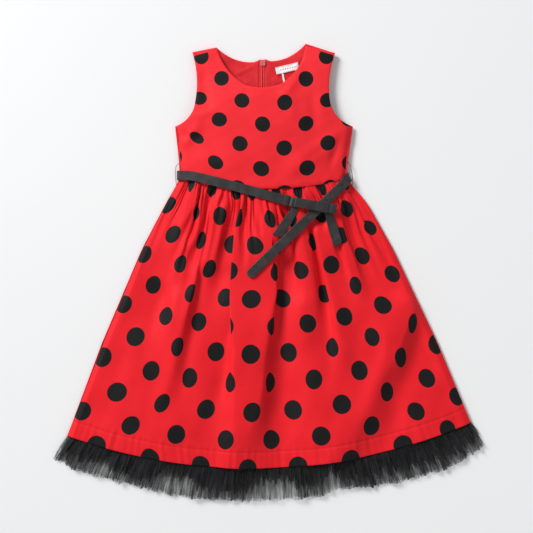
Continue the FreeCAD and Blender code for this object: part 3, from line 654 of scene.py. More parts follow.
def skirt_front(columns=620):
    """The printed front of the skirt, gathered into the waist seam, with its hem turned up."""
    s = np.linspace(*SKIRT_EDGES, columns)
    v = spans((0, 0.1, 22), (0.1, 0.915, 96), (0.915, 0.97, 15), (0.97, 1.0, 7))
    w = rounded_at(COLUMNS, s, 0.3)
    w = (w - w[0]) / (w[-1] - w[0])
    width = row_place(v, 0.5, WAIST_CENTRE_Y)[2]
    bend = skirt_bend(s, v, FRONT_FOLDS, 11)
    moved, up, free = gathered(s, bend, width, skirt_pitch(v), SKIRT_REACH, 0.55, 0.3)
    place = w + moved
    # The cloth as laid is drawn a little to one side here and there.
    place = place + ((0.021 * bump(place, 0.13, 0.10) - 0.014 * bump(place, 0.88, 0.08))
                     * (ease(v, 0.02, 0.2) * (1 - ease(v, 0.7, 1.0))))
    place = place - (0.011 * bump(place, 0.25, 0.10) * ease(v, 0.7, 0.85)
                     * (1 - ease(v, 0.94, 1.0)))
    x, y, _ = row_place(v, place, WAIST_CENTRE_Y)
    lift = up * free * (0.80 - 0.12 * ease(v, 0.05, 0.4)) * (0.45 + 0.55 * ease(v, 0.0, 0.05))
    rise = lift - (4.6 - 3.4 * ease(v, 0.3, 0.5)) * free
    most = 1.0 + 6.5 * ease(v, 0.32, 0.5)
    rise = np.where(rise > most - 1.5, most - 1.5 * np.exp(-(rise - most + 1.5) / 1.5), rise)
    rise += ((ripple(x, y * 0.5, 5, 46.0) * 0.5 + ripple(x, y, 6, 90.0) * 0.7)
             * ease(v, 0.15, 0.6))
    rise -= 0.75 * bump((v - HEM_STITCH) * SKIRT_LENGTH, 0.0, 1.6)
    rise += 0.35 * ripple_1d(s, 17, 0.16) * ease(v, HEM_STITCH - 0.03, HEM_STITCH)
    side = side_rise(np.minimum(place, 1 - place) * width)
    z = front_height(x, y) + rise - 5.0 * side
    # Near the sides the lining keeps the valleys up off the back.
    least = 7.2 - 2.8 * side
    z = np.where(z < least, least - 0.8 * (1 - np.exp(-(least - z) / 0.8)), z)
    points, v_all = turned_hem(np.stack([x, y, z], 2), v,
                               ((0.45, -0.35), (0.3, -0.95), (0.0, -1.25)), -1.3,
                               [-4, -7, -12, -17])
    rows = (at(ROWS, v_all) + 0.03 * ((s - 0.35) / 3.95) ** 2 * (1 - ease(v_all, 0.5, 0.95))
            + 0.056 * ease(s, 1.8, 3.6) * (ease(v_all, 0.1, 0.25)
                                           * (1 - 0.15 * ease(v_all, 0.4, 0.6))))
    # The print closes up towards the right edge, lower down.
    closing = 3.45 - 0.45 * ease(v_all, 0.62, 0.9)
    closed = np.clip((s - closing) / (SKIRT_EDGES[1] - closing), 0, 1) ** 1.25
    obj = piece("skirt_front_cloth", *grid(points), "print_cotton", attributes={
        "print": vectors(s + 0.29 * closed * ease(v_all, 0.42, 0.72), rows, SKIRT_RADIUS),
        "cloth": vectors(s * CLOTH_PITCH, -SKIRT_LENGTH * v_all, 0.0)})
    return points, v


FRONT_POINTS, FRONT_V = skirt_front()
CELL, MAP_HALF = 10.0, 450.0        # of the map of the front's lowest folds


def lowest_front(clear=1.0):
    """How low the front's folds reach, cell by cell of a map, less a clearance."""
    size = int(2 * MAP_HALF / CELL)
    table = np.full((size, size), 99.0)
    index = ((FRONT_POINTS[..., :2] + MAP_HALF) / CELL).astype(int)
    index = np.clip(index, 0, size - 1).reshape(-1, 2)
    np.minimum.at(table, (index[:, 0], index[:, 1]), FRONT_POINTS[..., 2].ravel())
    wide = np.pad(table, 1, mode="edge")
    return np.min([wide[a:size + a, b:size + b] for a in range(3) for b in range(3)], 0) - clear


FRONT_FLOOR = lowest_front()


def below_front(x, y, z):
    """Lowers z wherever the front's folds come down to it."""
    gx, gy = (x + MAP_HALF) / CELL - 0.5, (y + MAP_HALF) / CELL - 0.5
    ix, iy = np.floor(gx).astype(int), np.floor(gy).astype(int)
    fx, fy = gx - ix, gy - iy
    t = FRONT_FLOOR
    room = ((t[ix, iy] * (1 - fx) + t[ix + 1, iy] * fx) * (1 - fy)
            + (t[ix, iy + 1] * (1 - fx) + t[ix + 1, iy + 1] * fx) * fy)
    return np.minimum(z, np.minimum(room, 60.0))


def back_level(x, y):
    """Height of the back's printed cloth: held up by the zip, and near the floor elsewhere."""
    down = 1 - ease(y, -120.0, 40.0)
    far, near = (top + (0.7 - top) * down for top in (2.1, 4.3))
    return far + (near - far) * bump(x, ZIP_X, 20.0)


def skirt_back(side, columns=300):
    """One half of the back of the skirt, up to the centre-back seam and the zip."""
    left = side == "left"
    v = spans((0, 0.1, 12), (0.1, 1.0, 74))
    s = np.linspace(0, SKIRT_REACH / 2, columns) + (0 if left else SKIRT_REACH / 2)
    bend = skirt_bend(s - SKIRT_REACH / 2, v, BACK_FOLDS, 31 if left else 37) * 0.8
    left_x, _, width = row_place(v, 0.0, BACK_WAIST_Y)
    centre = (ZIP_X + (-ZIP_GAP if left else ZIP_GAP) - left_x) / width
    k = np.linspace(0, 1, columns)
    moved, up, free = gathered(s, bend, width, skirt_pitch(v), SKIRT_REACH, 0.55, 0.3)
    place = (centre * k if left else centre + (1 - centre) * k) + moved
    x, y, _ = row_place(v, place, BACK_WAIST_Y)
    rise = np.clip(up * 0.3, -1.2, 1.2) * free * ease(v, 0.0, 0.06)
    level = back_level(x, y)
    z = level + np.where(level + rise < 0.35, 0.35 - level, rise)
    z = z + (SEAM_Z - 0.4 - z) * side_rise(np.minimum(place, 1 - place) * width)
    points, v_all = turned_hem(np.stack([x, y, z], 2), v, ((0.4, 0.3), (0.3, 0.8), (0.0, 1.0)),
                               1.05, [-2, -3])
    verts, quads = grid(points)
    obj = piece(f"skirt_back_{side}_cloth", verts, quads[:, ::-1], "print_cotton", attributes={
        "print": vectors(s + 0.31, at(ROWS, v_all) + 0.23, SKIRT_RADIUS),
        "cloth": vectors(s * CLOTH_PITCH, -SKIRT_LENGTH * v_all, 0.0)})


def skirt_lining(part, columns=260, reach=8):
    """The plain skirt lining, slack between front and back, which ends well above the hem."""
    front = part == "front"
    v = spans((0, 1, 56)) * LINING_END
    s = np.linspace(0, reach, columns)
    bend = 1.3 * wander(s, 4.4, 1.0, 51, 1.0) * (1 - ease(v, 0.0, 0.3))
    bend = bend + wander(s, 1.3, 0.7, 52, 2.0) * 0.5
    width = row_place(v, 0.5, WAIST_CENTRE_Y)[2] - 16
    moved, up, free = gathered(s, bend, width, 60 + 14 * v, reach, 0.55, 0.4)
    place = s / reach + moved
    x, y, _ = row_place(v, place, WAIST_CENTRE_Y if front else BACK_WAIST_Y, inset=8.0)
    under = back_level(x, y) + 2.4
    z = under + (front_height(x, y) - under) * (0.40 if front else 0.06)
    z = z + np.clip(up * (0.35 if front else 0.12), -1.8, 1.8) * free
    z = z + (SEAM_Z + 0.3 - z) * side_rise(np.minimum(place, 1 - place) * width)
    if front:
        z = np.maximum(below_front(x, y, z), back_level(x, y) + 3.2)
    else:
        z += 2.2 * bump(x, ZIP_X, 7.0) * ease(y, 20.0, 60.0)
    points = np.stack([x, y, z], 2)
    lip = [points[-1] + np.array([0, -0.3, -0.5]), points[-3] - UP * 0.7]
    points = np.concatenate([points, np.stack(lip)])
    obj = piece(f"skirt_lining_{part}_cloth", *grid(points), "lining_cotton",
                attributes={"cloth": vectors(s * CLOTH_PITCH, points[..., 1], 0.0)})


# How open the net stands along the hem, from the left end to the right end: 0 bunched, 1 sheer.
TULLE_OPEN = ((0.0, 0.0), (0.05, 0.1), (0.09, 0.5), (0.13, 0.35), (0.15, 0.0), (0.22, 0.05),
              (0.26, 0.8), (0.31, 0.9), (0.34, 0.2), (0.38, 0.35), (0.41, 0.1), (0.455, 0.25),
              (0.48, 0.95), (0.53, 1.0), (0.565, 0.55), (0.6, 0.3), (0.64, 0.7), (0.675, 0.6),
              (0.69, 0.1), (0.74, 0.1), (0.77, 0.4), (0.82, 0.3), (0.86, 0.3), (0.9, 0.25),
              (0.95, 0.15), (1.0, 0.2))
# How far the tulle shows below the hem.
TULLE_SHOWS = ((0.0, 43.0), (0.06, 51.0), (0.2, 52.0), (0.28, 59.0), (0.62, 59.0), (0.655, 50.0),
               (0.72, 55.0), (0.8, 60.0), (0.92, 60.0), (1.0, 45.0))
TULLE_UNDER, TULLE_WIDTH, TULLE_PLEATS = 16.0, 800.0, 96


def tulle(layer, part, columns=900):
    """A frill of net, finely pleated, whose lower edge runs unevenly."""
    front, outer = part == "front", layer == "outer"
    seed = 61 + 2 * front + outer
    s = np.linspace(0, 1, columns)
    q = spans((0, 1, 18))
    bend = np.sin(math.tau * (TULLE_PLEATS * s + 0.9 * ripple_1d(s, seed, 0.03)
                              + 2.0 * ripple_1d(s, seed + 5, 0.2)))
    bend = bend * (0.9 + 0.35 * ripple_1d(s, seed + 1, 0.05))
    bend = bend + 0.5 * wander(s, 31, 1.4, seed + 2, 0.1) * q
    cut = 1080.0 if front else 930.0
    moved, up, _ = gathered(s, bend, np.full(q.shape, TULLE_WIDTH), np.full(q.shape, cut), 1,
                            0.018, 0.02)
    place = s + moved
    open_here = np.clip(rounded_at(TULLE_OPEN, s, 0.008) + 0.25 * ripple_1d(s, seed + 6, 0.02), 0, 1)
    tufts = ripple_1d(s, seed + 4, 0.012)
    shows = rounded_at(TULLE_SHOWS, s, 0.01) + 1.6 * ripple_1d(s, seed + 3, 0.045)
    shows = shows + 2.2 * np.maximum(tufts, -0.3) * (1 - 0.7 * open_here) - 0.3
    if not outer:
        shows = shows - 14.0 - 22.0 * open_here + 5.0 * tufts
    if not front:
        shows = shows - 2.5
    beyond = (-TULLE_UNDER + (shows + TULLE_UNDER) * q) / SKIRT_LENGTH
    x, y, _ = row_place(1 + beyond, place, WAIST_CENTRE_Y, inset=2.0)
    x = x + (place - 0.5) * 2 * 8.0 * ease(q, 0.1, 1.0)
    past = ease(beyond * SKIRT_LENGTH, -8.0, 52.0)
    if front:
        z = front_height(x, y) - (4.2 if outer else 7.4) - (9.5 if outer else 5.0) * past
        z = np.maximum(z, 6.3 if outer else 5.2)
        z = z + up * 0.62 * (0.35 + 0.65 * ease(q, 0.1, 0.7))
        z = np.where(beyond * SKIRT_LENGTH < 2.0, below_front(x, y, z), z)
    else:
        z = (2.4 if outer else 3.7) + np.clip(up * 0.35, -0.9, 0.9) * ease(q, 0.2, 0.7) + 0.6 * past
    if outer:
        dense = (0.40 if front else 0.20) - (0.34 if front else 0.14) * open_here
    else:
        dense = (0.70 if front else 0.40) - 0.30 * ease(q, 0.6, 1.0)
    dense = (dense + 0.08 * ease(np.abs(up), 0.8, 2.4)
             + 0.25 * (ease(tufts, 0.1, 0.9) * (1 - 0.5 * open_here)))
    obj = piece(f"tulle_{layer}_{part}_net", *grid(np.stack([x, y, np.maximum(z, 0.6)], 2)), "tulle",
                attributes={"cloth": vectors(s * cut, beyond * SKIRT_LENGTH, dense)})


# ---------------------------------------------------------------- bodice
# Soft ridges, or valleys where the height is below 0: from, to, width, height.
FRONT_CREASES = (
    ((137, 246), (26, 166), 15.0, 1.9), ((118, 228), (104, 182), 6.5, -1.6),
    ((-147, 214), (-118, 258), 9.0, 1.4), ((-150, 236), (-120, 226), 6.0, -1.2),
    ((-128, 200), (-60, 172), 13.0, 1.0), ((53, 338), (20, 296), 7.0, 1.0),
    ((72, 306), (78, 246), 9.0, -1.1), ((-115, 340), (-103, 284), 9.0, -1.2),
    ((-100, 366), (-74, 346), 6.0, -0.8), ((-20, 262), (30, 236), 14.0, 0.7),
    ((-142, 262), (-96, 274), 8.0, 0.9), ((96, 214), (60, 190), 8.0, -0.8),
    ((34, 318), (40, 262), 8.0, 0.6),
)
LINING_CREASES = (
    ((-66, 352), (-30, 330), 6.0, 1.2), ((-46, 356), (-22, 336), 4.5, -1.0),
    ((4, 328), (34, 322), 5.0, 1.1), ((44, 352), (60, 372), 4.0, 0.8),
    ((-58, 338), (-26, 352), 3.6, 1.3), ((-70, 330), (-30, 322), 5.0, 1.2),
    ((0, 350), (14, 334), 3.0, 1.0), ((-34, 344), (-18, 322), 3.0, -1.0),
)
SHOULDER_SEAMS = ((-128.0, 369.3), (-105.3, 375.1), (-90.0, 380.0), (64.0, 383.5), (87.5, 376.8),
                  (109.0, 370.5))
ARMHOLES = {
    "left": arcs((-160.7, 249.0), (-139.0, 262.0), (-126.0, 290.0), (-123.3, 331.0), SHOULDER_LEFT),
    "right": arcs((142.0, 249.0), (118.0, 262.0), (102.5, 290.0), (101.3, 328.0), SHOULDER_RIGHT),
}
FRONT_NECK = arcs(NECK_LEFT, (-71.0, 344.0), (-40.0, 317.0), (CENTRE_X, 313.5), (18.0, 319.0),
                  (46.5, 345.0), NECK_RIGHT)
BACK_NECK = {"left": arc(NECK_LEFT, (-60.0, 364.0), (ZIP_X, 361.0)),
             "right": arc((ZIP_X, 361.0), (32.0, 367.5), NECK_RIGHT)}


def creased(rise, x, y, creases, tall=1.0):
    """Adds creases that run out at their ends."""
    for start, end, width, height in creases:
        a = np.array(start)
        along = np.array(end) - a
        length = np.linalg.norm(along)
        along = along / length
        k = (x - a[0]) * along[0] + (y - a[1]) * along[1]
        off = -(x - a[0]) * along[1] + (y - a[1]) * along[0]
        fade = ease(k, -0.25 * length, 0.3 * length) * (1 - ease(k, 0.7 * length, 1.25 * length))
        rise = rise + height * tall * bump(off, 0.0, width) * fade
    return rise


def side_seam(side):
    """The bodice's side edge from the waist up to the underarm, without the underarm."""
    return [(float(edges(y)[side == "right"]), y) for y in (WAIST_SIDE_Y, 175.0, 190.0, 210.0, 230.0)]


def waist_line(centre_y):
    """The waist from the left side to the right side."""
    left, right = (float(edge) for edge in edges(WAIST_SIDE_Y))
    return arc((left, WAIST_SIDE_Y), (CENTRE_X, centre_y), (right, WAIST_SIDE_Y), 36)


def front_outline():
    return (ARMHOLES["right"] + [SHOULDER_RIGHT] + FRONT_NECK[::-1][:-1] + [NECK_LEFT, SHOULDER_LEFT]
            + ARMHOLES["left"][::-1] + side_seam("left")[::-1] + waist_line(WAIST_CENTRE_Y)[1:]
            + side_seam("right"))


def near_sides(x, y):
    """How near the bodice's side seams a point is, from 0 to 1; nothing above the underarms."""
    left, right = edges(y)
    return side_rise(np.minimum(x - left, right - x)) * ease(y, 266.0, 246.0)


def past_shoulder(x, y):
    """How far y is past the shoulder seams, which lie in front of the fold, the right one more."""
    return y - at(SHOULDER_SEAMS, x)


def bodice_front_height(x, y):
    rise = ripple(x, y, 71, 70.0) * 0.7 + ripple(x, y, 72, 34.0) * 0.22
    rise = creased(rise, x, y, FRONT_CREASES, 1.8)
    beside_neck = ease(x, 60.0, 68.0) + ease(-x, 86.0, 94.0)
    rise = rise - 0.8 * bump(past_shoulder(x, y), 0.0, 1.3) * beside_neck
    k = (x - CENTRE_X) / 142.0
    over_waist = y - (WAIST_CENTRE_Y + (WAIST_SIDE_Y - WAIST_CENTRE_Y) * k * k)
    rise = (rise - 0.5 - 1.1 * (1 - ease(over_waist, 0.0, 5.0))
            + 0.35 * ripple_1d(x, 75, 13.0) * (1 - ease(over_waist, 0.0, 16.0)))
    return front_height(x, y) + rise - 5.0 * near_sides(x, y)


def bodice_print(x, y, front=True):
    """The print and the cloth's own coordinates for a bodice panel."""
    radius, past_seam = BODICE_RADIUS, 0.0
    if front:
        past_seam = np.clip(past_shoulder(x, y), -9.0, 9.0) * (np.abs(x - CENTRE_X) > 70)
    else:
        radius = np.where((y > 345.0) & (np.abs(x - CENTRE_X) < 80.0), 0.001, radius)
    bow = 7.5 * (1 - ease(y, 225.0, 345.0))
    down = y + 0.4 * bow - bow * (np.abs(x - 22.0) / 75.0) ** 1.2 - BODICE_DOT[1]
    down += 2.7 * bump(x, 5.0, 90.0) * (1 - ease(y, 300.0, 340.0))
    across = x - 2.6 * ease(y, 215.0, 330.0) - BODICE_DOT[0]
    across += at(((-168.0, -2.7), (-135.0, 2.5), (-100.0, 4.6), (-60.0, 3.0), (-12.0, 1.8),
                  (30.0, 0.0), (79.0, -1.4), (110.0, 0.0), (148.0, 3.6)), x) * (1 - ease(y, 195.0, 225.0))
    pitch = BODICE_PITCH * (1 + 0.00033 * (BODICE_DOT[1] - y))
    # The cloth is drawn up on the slant under the left arm, which squeezes the spots there.
    for cx, cy, pull in ((-124.7, 229.0, 0.55), (-93.0, 188.0, 0.22)):
        near = np.exp(-((x - cx) ** 2 + (y - cy) ** 2) / 22.0 ** 2)
        off = ((x - cx) * 0.5 + (y - cy) * 0.87) * pull * near
        across, down = across + 0.5 * off, down + 0.87 * off
    return {"print": vectors(across / pitch + (0.0 if front else 0.27), down / BODICE_ROWS, radius),
            "cloth": vectors(x, y, past_seam)}


def plain(x, y):
    return {"cloth": vectors(x, y, 0.0)}


def panel(name, slot, outline, spacing, height, edge, attributes, flip=False):
    """A bodice panel cut to its outline, at a height worked out for each point."""
    flat, faces, sizes = filled(outline, spacing)
    verts, faces, sources = rolled(flat, faces, sizes, height(*flat.T), edge, flip)
    return piece(name, verts, faces, slot, attributes=attributes(*flat[sources].T))


def bodice_front():
    obj = panel("bodice_front_cloth", "print_cotton", front_outline(), 3.6, bodice_front_height,
                [(0.3, 0.3), (0.45, 0.8), (0.2, 1.4), (-1.0, 1.7), (-7.0, 1.9)], bodice_print)


def bodice_back_height(x, y):
    """The printed back: on the floor, held up by the zip and drawn up to the shoulders."""
    level = back_level(x, y) + 0.3 * ripple(x, y, 81, 50.0) * ease(np.abs(x - ZIP_X), 12.0, 40.0)
    front = front_height(x, y) - 6.2
    level = level + (front - level) * ease(y, 348.0, 376.0) * ease(np.abs(x - CENTRE_X), 40.0, 66.0)
    return level + (SEAM_Z - 0.5 - level) * near_sides(x, y)


def back_outline(side, inset, neck_drop, corner_lift):
    """One half of the bodice's back, that far from the centre back."""
    way = -1 if side == "left" else 1
    middle = ZIP_X + way * inset
    neck = BACK_NECK["left"] if side == "left" else BACK_NECK["right"][1:] + [NECK_RIGHT]
    neck = [p for p in neck if way * (p[0] - middle) > 1.5]
    waist = waist_line(BACK_WAIST_Y)
    neck_y = float(np.interp(middle, *zip(*sorted(BACK_NECK["left"] + BACK_NECK["right"]))))
    ends = [(middle, neck_y), (middle, float(np.interp(middle, *zip(*waist))))]
    waist = [p for p in waist if way * (p[0] - middle) > 2]
    rising = side_seam(side) + ARMHOLES[side]
    if side == "left":
        points = ends[::-1] + neck[::-1] + [SHOULDER_LEFT] + rising[::-1] + waist[1:]
    else:
        points = ends + waist + rising + [SHOULDER_RIGHT] + neck[::-1]
    return [(x, y - (neck_drop if y > 355 and abs(x - CENTRE_X) < 76 else 0.0)
             + (corner_lift * bump(abs(x - ZIP_X), 5.5, 4.0) if y > 355 else 0.0)) for x, y in points]


def bodice_back(side):
    obj = panel(f"bodice_back_{side}_cloth", "print_cotton", back_outline(side, ZIP_GAP, 0.0, 3.6),
                4.2, bodice_back_height,
                [(0.3, -0.3), (0.45, -0.8), (0.2, -1.4), (-1.0, -1.7), (-5.0, -1.8)],
                lambda x, y: bodice_print(x, y, front=False), flip=True)


def lining_back_height(x, y):
    """The lining inside the back, rumpled a little where the neck shows it."""
    rise = 0.55 * ripple(x, y, 91, 30.0) + 0.3 * ripple(x, y, 92, 15.0)
    rise = rise * ease(np.abs(x - ZIP_X), 6.0, 16.0) * (1 - 0.6 * ease(y, 352.0, 362.0))
    rise = creased(rise, x, y, LINING_CREASES)
    return bodice_back_height(x, y) + 2.5 + np.maximum(rise, -0.8)


def bodice_lining_back(side):
    obj = panel(f"bodice_lining_back_{side}_cloth", "lining_cotton", back_outline(side, 6.65, 0.9, 2.0),
                3.2, lining_back_height, [(0.2, 0.15), (0.3, 0.5), (-0.4, 0.8)], plain)


def lining_front_height(x, y):
    front = bodice_front_height(x, y)
    return np.minimum(np.maximum(front - 3.0, lining_back_height(x, y) + 0.5), front - 1.2)


def bodice_lining_front():
    obj = panel("bodice_lining_front_cloth", "lining_cotton", front_outline(), 6.0,
                lining_front_height, [(-0.6, 0.1)], plain)


# ---------------------------------------------------------------- zip and labels
COIL_FROM, COIL_TO, COIL_PITCH = 70.0, 358.5, 1.25
LABEL_CORNER, LABEL_SIZE, LABEL_TURN = (12.4, 337.6), (40.0, 12.5), math.radians(13.0)
TAB_FOOT, TAB_SIZE, TAB_TURN = (26.0, 321.0), (3.0, 18.4), math.radians(11.0)


def zip_coil(side):
    """A nylon coil: each turn is one tooth, with a head towards the middle."""
    way = -1 if side == "left" else 1
    k = np.arange(int((COIL_TO - COIL_FROM) / COIL_PITCH) * 12) / 12.0
    reach = np.cos(math.tau * k)
    x = ZIP_X + way * (1.50 - 0.62 * np.sign(reach) * np.abs(reach) ** 0.7)
    z = 6.7 + 0.41 * np.sin(math.tau * k)
    y = COIL_FROM + 0.35 + COIL_PITCH * k + (0.0 if side == "left" else COIL_PITCH / 2 * 0.9)
    teeth = tube(np.stack([x, np.minimum(y, COIL_TO - 0.3), z], 1), 0.23, 5)
    cord = tube([(ZIP_X + way * 2.0, y, 6.75) for y in np.linspace(COIL_FROM, COIL_TO, 60)], 0.3)
    piece(f"zip_coil_{side}_teeth", *joined(teeth, cord), "zip_coil")


def zip_tape(side):
    way = -1 if side == "left" else 1
    x = ZIP_X + way * np.linspace(ZIP_GAP, 13.0, 9)
    gx, gy = np.meshgrid(x[::way], np.linspace(62.0, 360.0, 120)[::-1])
    gz = 5.75 - 0.35 * ease(np.abs(gx - ZIP_X), 7.0, 13.0) + 0.05 * ripple(gx, gy, 101, 12.0)
    obj = piece(f"zip_tape_{side}_cloth", *grid(np.stack([gx, gy, gz], 2)), "zip_tape",
                attributes=plain(gx, gy))


def neck_label(cols=64, rows=24):
    """A white satin label sewn flat along its top edge, its lower edge lifting a little."""
    wide, tall = LABEL_SIZE
    a, b = np.meshgrid(np.linspace(0, wide, cols), np.linspace(tall, 0, rows))
    x = LABEL_CORNER[0] + a * math.cos(LABEL_TURN) - b * math.sin(LABEL_TURN)
    y = LABEL_CORNER[1] + a * math.sin(LABEL_TURN) + b * math.cos(LABEL_TURN)
    lift = 0.9 + 0.9 * (1 - b / tall) ** 2 + 0.25 * np.sin(a / 5.0) * (1 - b / tall)
    upper, quads = grid(np.stack([x, y, lining_back_height(x, y) + lift], 2))
    shift = len(upper)
    rim = ([(0, c) for c in range(cols)] + [(r, cols - 1) for r in range(1, rows)]
           + [(rows - 1, c) for c in range(cols - 2, -1, -1)] + [(r, 0) for r in range(rows - 2, 0, -1)])
    rim = [r * cols + c for r, c in rim]
    faces = ([list(q) for q in quads] + [list(q[::-1] + shift) for q in quads]
             + [[p, n, n + shift, p + shift] for p, n in zip(rim, rim[1:] + rim[:1])])
    local = vectors(a - wide / 2, b - tall / 2, 1.0)
    obj = piece("neck_label_satin", np.vstack([upper, upper - UP * 0.35]), faces, "label_satin",
                attributes={"cloth": np.vstack([local, local * (1, 1, 0)])})


# ---------------------------------------------------------------- straps
BELT_WIDTH, BELT_THICK, BELT_LEVEL, END_LEVEL = 16.0, 1.4, 1.6, 3.3
BELT_FRONT = ((35.6, 120.3), (12.0, 126.7), (-7.7, 131.8), (-35.7, 139.6), (-63.8, 147.1),
              (-85.0, 152.8), (-106.3, 158.1), (-124.0, 162.3), (-138.0, 164.8))
WRAP_LEFT, WRAP_RIGHT, WRAP_RADIUS, WRAP_LEVEL = (-151.6, 165.4), (136.6, 163.4), 5.8, 6.5
END_START, END_TIP = (123.8, 148.2), (-35.7, -6.0)
HOLE_PITCH, HOLE_COUNT, HOLE_RADIUS = 26.45, 4, 1.5
RIM_RADIUS = HOLE_RADIUS + 0.25             # where a hole's rounded rim starts
HINGE, CURL_RADIUS = (39.0, 119.2, 26.825), 1.62
BOW_TURN, BOW_TILT = math.radians(-9.4), math.radians(3.7)
KEEPER_FROM, KEEPER_TO = (25.0, 123.2), (32.5, 121.2)
# Each tail's middle line, its height over the front, its end's slant and its body.
TAILS = {
    "left": (((45.2, 115.1), (44.0, 109.7), (38.5, 99.5), (27.0, 82.0), (13.0, 62.0)),
             (1.7, 1.7, 1.7, 1.7, 1.7), -0.38, "belt"),
    "right": (((95.0, 109.0), (98.0, 103.4), (102.8, 90.0), (109.3, 69.0), (116.3, 46.5)),
              (5.2, 4.6, 3.2, 2.0, 1.7), -0.34, "bow"),
}
TAIL_WIDTHS = (9.0, 13.0, 16.0, 16.0, 16.0)
BOW_LOW, BOW_HEIGHT, BOW_WALL = 4.8, 3.6, 0.9
BOW_START, BOW_END = 3.0, 75.0
KNOT_START, KNOT_LENGTH, KNOT_WALL = 41.0, 19.5, 0.8
LOOPS = {
    "left": ((-154.3, 186.0, 6.6), (-157.6, 183.4, 6.6), (-159.6, 179.2, 6.5), (-160.2, 172.0, 6.4),
             (-160.0, 163.0, 6.5), (-159.6, 156.0, 6.7), (-158.8, 150.0, 7.0)),
    "right": ((133.6, 190.5, 6.4), (135.6, 186.5, 6.6), (138.0, 181.0, 6.6), (139.8, 174.0, 6.4),
              (141.4, 166.0, 6.4), (142.0, 158.0, 6.6), (141.6, 151.0, 6.9), (141.2, 147.0, 7.2)),
}
# Corners of a rounded shape, anticlockwise: signs of across and up, and the angle each starts at.
CORNERS = ((1, 1, 0), (-1, 1, 90), (-1, -1, 180), (1, -1, 270))


def spline(points, step):
    """A smooth line through the points, with points about every step along it."""
    p = np.asarray(points, float)
    p = np.vstack([2 * p[0] - p[1], p, 2 * p[-1] - p[-2]])
    out = []
    for a, b, c, d in zip(p, p[1:], p[2:], p[3:]):
        count = max(2, int(np.linalg.norm((c - b)[:3]) / step))
        for t in np.arange(count) / count:
            out.append(0.5 * (2 * b + (c - a) * t + (2 * a - 5 * b + 4 * c - d) * t * t
                              + (3 * b - a - 3 * c + d) * t ** 3))
    return np.array(out + [p[-2]])


def section(width, thick):
    """The strap's cross-section: flat faces, rounded edges and a slight crown."""
    r = min(0.45, thick / 2.05)
    a, b = width / 2, thick / 2
    corners = []
    for sx, sz, first in CORNERS:
        for angle in np.radians(first + np.array([0, 30, 60, 90])):
            corners.append((sx * (a - r) + r * math.cos(angle), sz * (b - r) + r * math.sin(angle)))
        if sx == sz:
            for x in (a - r - 0.5, a * 0.5, 0.0, -a * 0.5, -(a - r - 0.5)):
                corners.append((sx * x, sz * (b + (0.10 if sz > 0 else 0.0) * (1 - (x / a) ** 2))))
    return np.array(corners)


def sweep(path, across, width, thick, closed=False, slant=0.0):
    """A flat strap along a path. across is the way its width lies, at every point or at all."""
    path = np.asarray(path, float)
    n = len(path)
    across = np.broadcast_to(np.asarray(across, float), path.shape).copy()
    width = np.interp(np.linspace(0, 1, n), np.linspace(0, 1, np.size(width)), np.atleast_1d(width))
    along = (np.roll(path, -1, 0) - np.roll(path, 1, 0)) if closed else np.gradient(path, axis=0)
    along /= np.linalg.norm(along, axis=1)[:, None] + 1e-12
    across -= along * np.sum(across * along, 1)[:, None]
    across /= np.linalg.norm(across, axis=1)[:, None]
    out = np.cross(along, across)
    rings = []
    for k in range(n):
        wide, high = section(width[k], thick).T[..., None]
        lean = slant * max(0.0, 1 - (n - 1 - k) / 4)
        rings.append(path[k] + wide * across[k] + high * out[k] + lean * wide * along[k])
    return np.vstack(rings), ring_faces(n, len(rings[0]), closed, flip=True)


def over_front(points, level):
    """Gives points in plan a height: that far over the front of the dress."""
    p = np.asarray(points, float)
    return np.column_stack([p, front_height(p[:, 0], p[:, 1]) + level])


def way(start, end):
    """The direction in plan from one point to another, and the one to its left."""
    along = np.array([end[0] - start[0], end[1] - start[1], 0.0])
    along /= np.linalg.norm(along)
    return along, np.array([-along[1], along[0], 0.0])


END_ALONG, END_ACROSS = way(END_START, END_TIP)


def belt_round():
    """The belt from its buckle end, across the front and round the back to its free end."""
    lead, lead_across = way(BELT_FRONT[1], BELT_FRONT[0])
    curl = [np.array(HINGE) + CURL_RADIUS * (lead * math.cos(t) + UP * math.sin(t))
            for t in np.radians(np.arange(-120, 151, 30))]
    front = over_front(BELT_FRONT, BELT_LEVEL + BELT_THICK / 2)
    left = [(WRAP_LEFT[0] - WRAP_RADIUS * math.sin(t), WRAP_LEFT[1],
             WRAP_LEVEL + WRAP_RADIUS * math.cos(t)) for t in np.radians(np.arange(0, 181, 20))]
    back = [(x, WRAP_LEFT[1] + (WRAP_RIGHT[1] - WRAP_LEFT[1]) * (x + 152.0) / 286.0, 0.72)
            for x in np.linspace(-140.0, 120.0, 12)]
    # It comes round the side level and leaves on the slant, folding on the line between the two.
    right, right_across = [], []
    for t in np.radians(np.arange(180, -1, -20)):
        inwards = (X if math.cos(t) < 0 else -END_ALONG) * WRAP_RADIUS * (math.sin(t) - 1)
        right.append((*(np.array([*WRAP_RIGHT, 0.0]) + inwards)[:2],
                      WRAP_LEVEL + WRAP_RADIUS * math.cos(t)))
        share = (1 + math.cos(t)) / 2
        slanted = Y * (1 - share) - END_ACROSS * share
        right_across.append(slanted / np.linalg.norm(slanted))
    start = over_front([(np.array([*END_START, 0.0]) - END_ALONG * 5.0)[:2]],
                       END_LEVEL + BELT_THICK / 2)
    path = np.vstack([curl, front, left, back, right, start])
    across = np.vstack([np.tile(lead_across, (len(curl) + len(front), 1)),
                        np.tile(Y, (len(left) + len(back), 1)), right_across, -END_ACROSS])
    both = spline(np.hstack([path, across * 10.0]), 2.5)
    both[:, 2] = np.maximum(both[:, 2], BELT_THICK / 2 + 0.02)
    return sweep(both[:, :3], both[:, 3:], BELT_WIDTH, BELT_THICK)


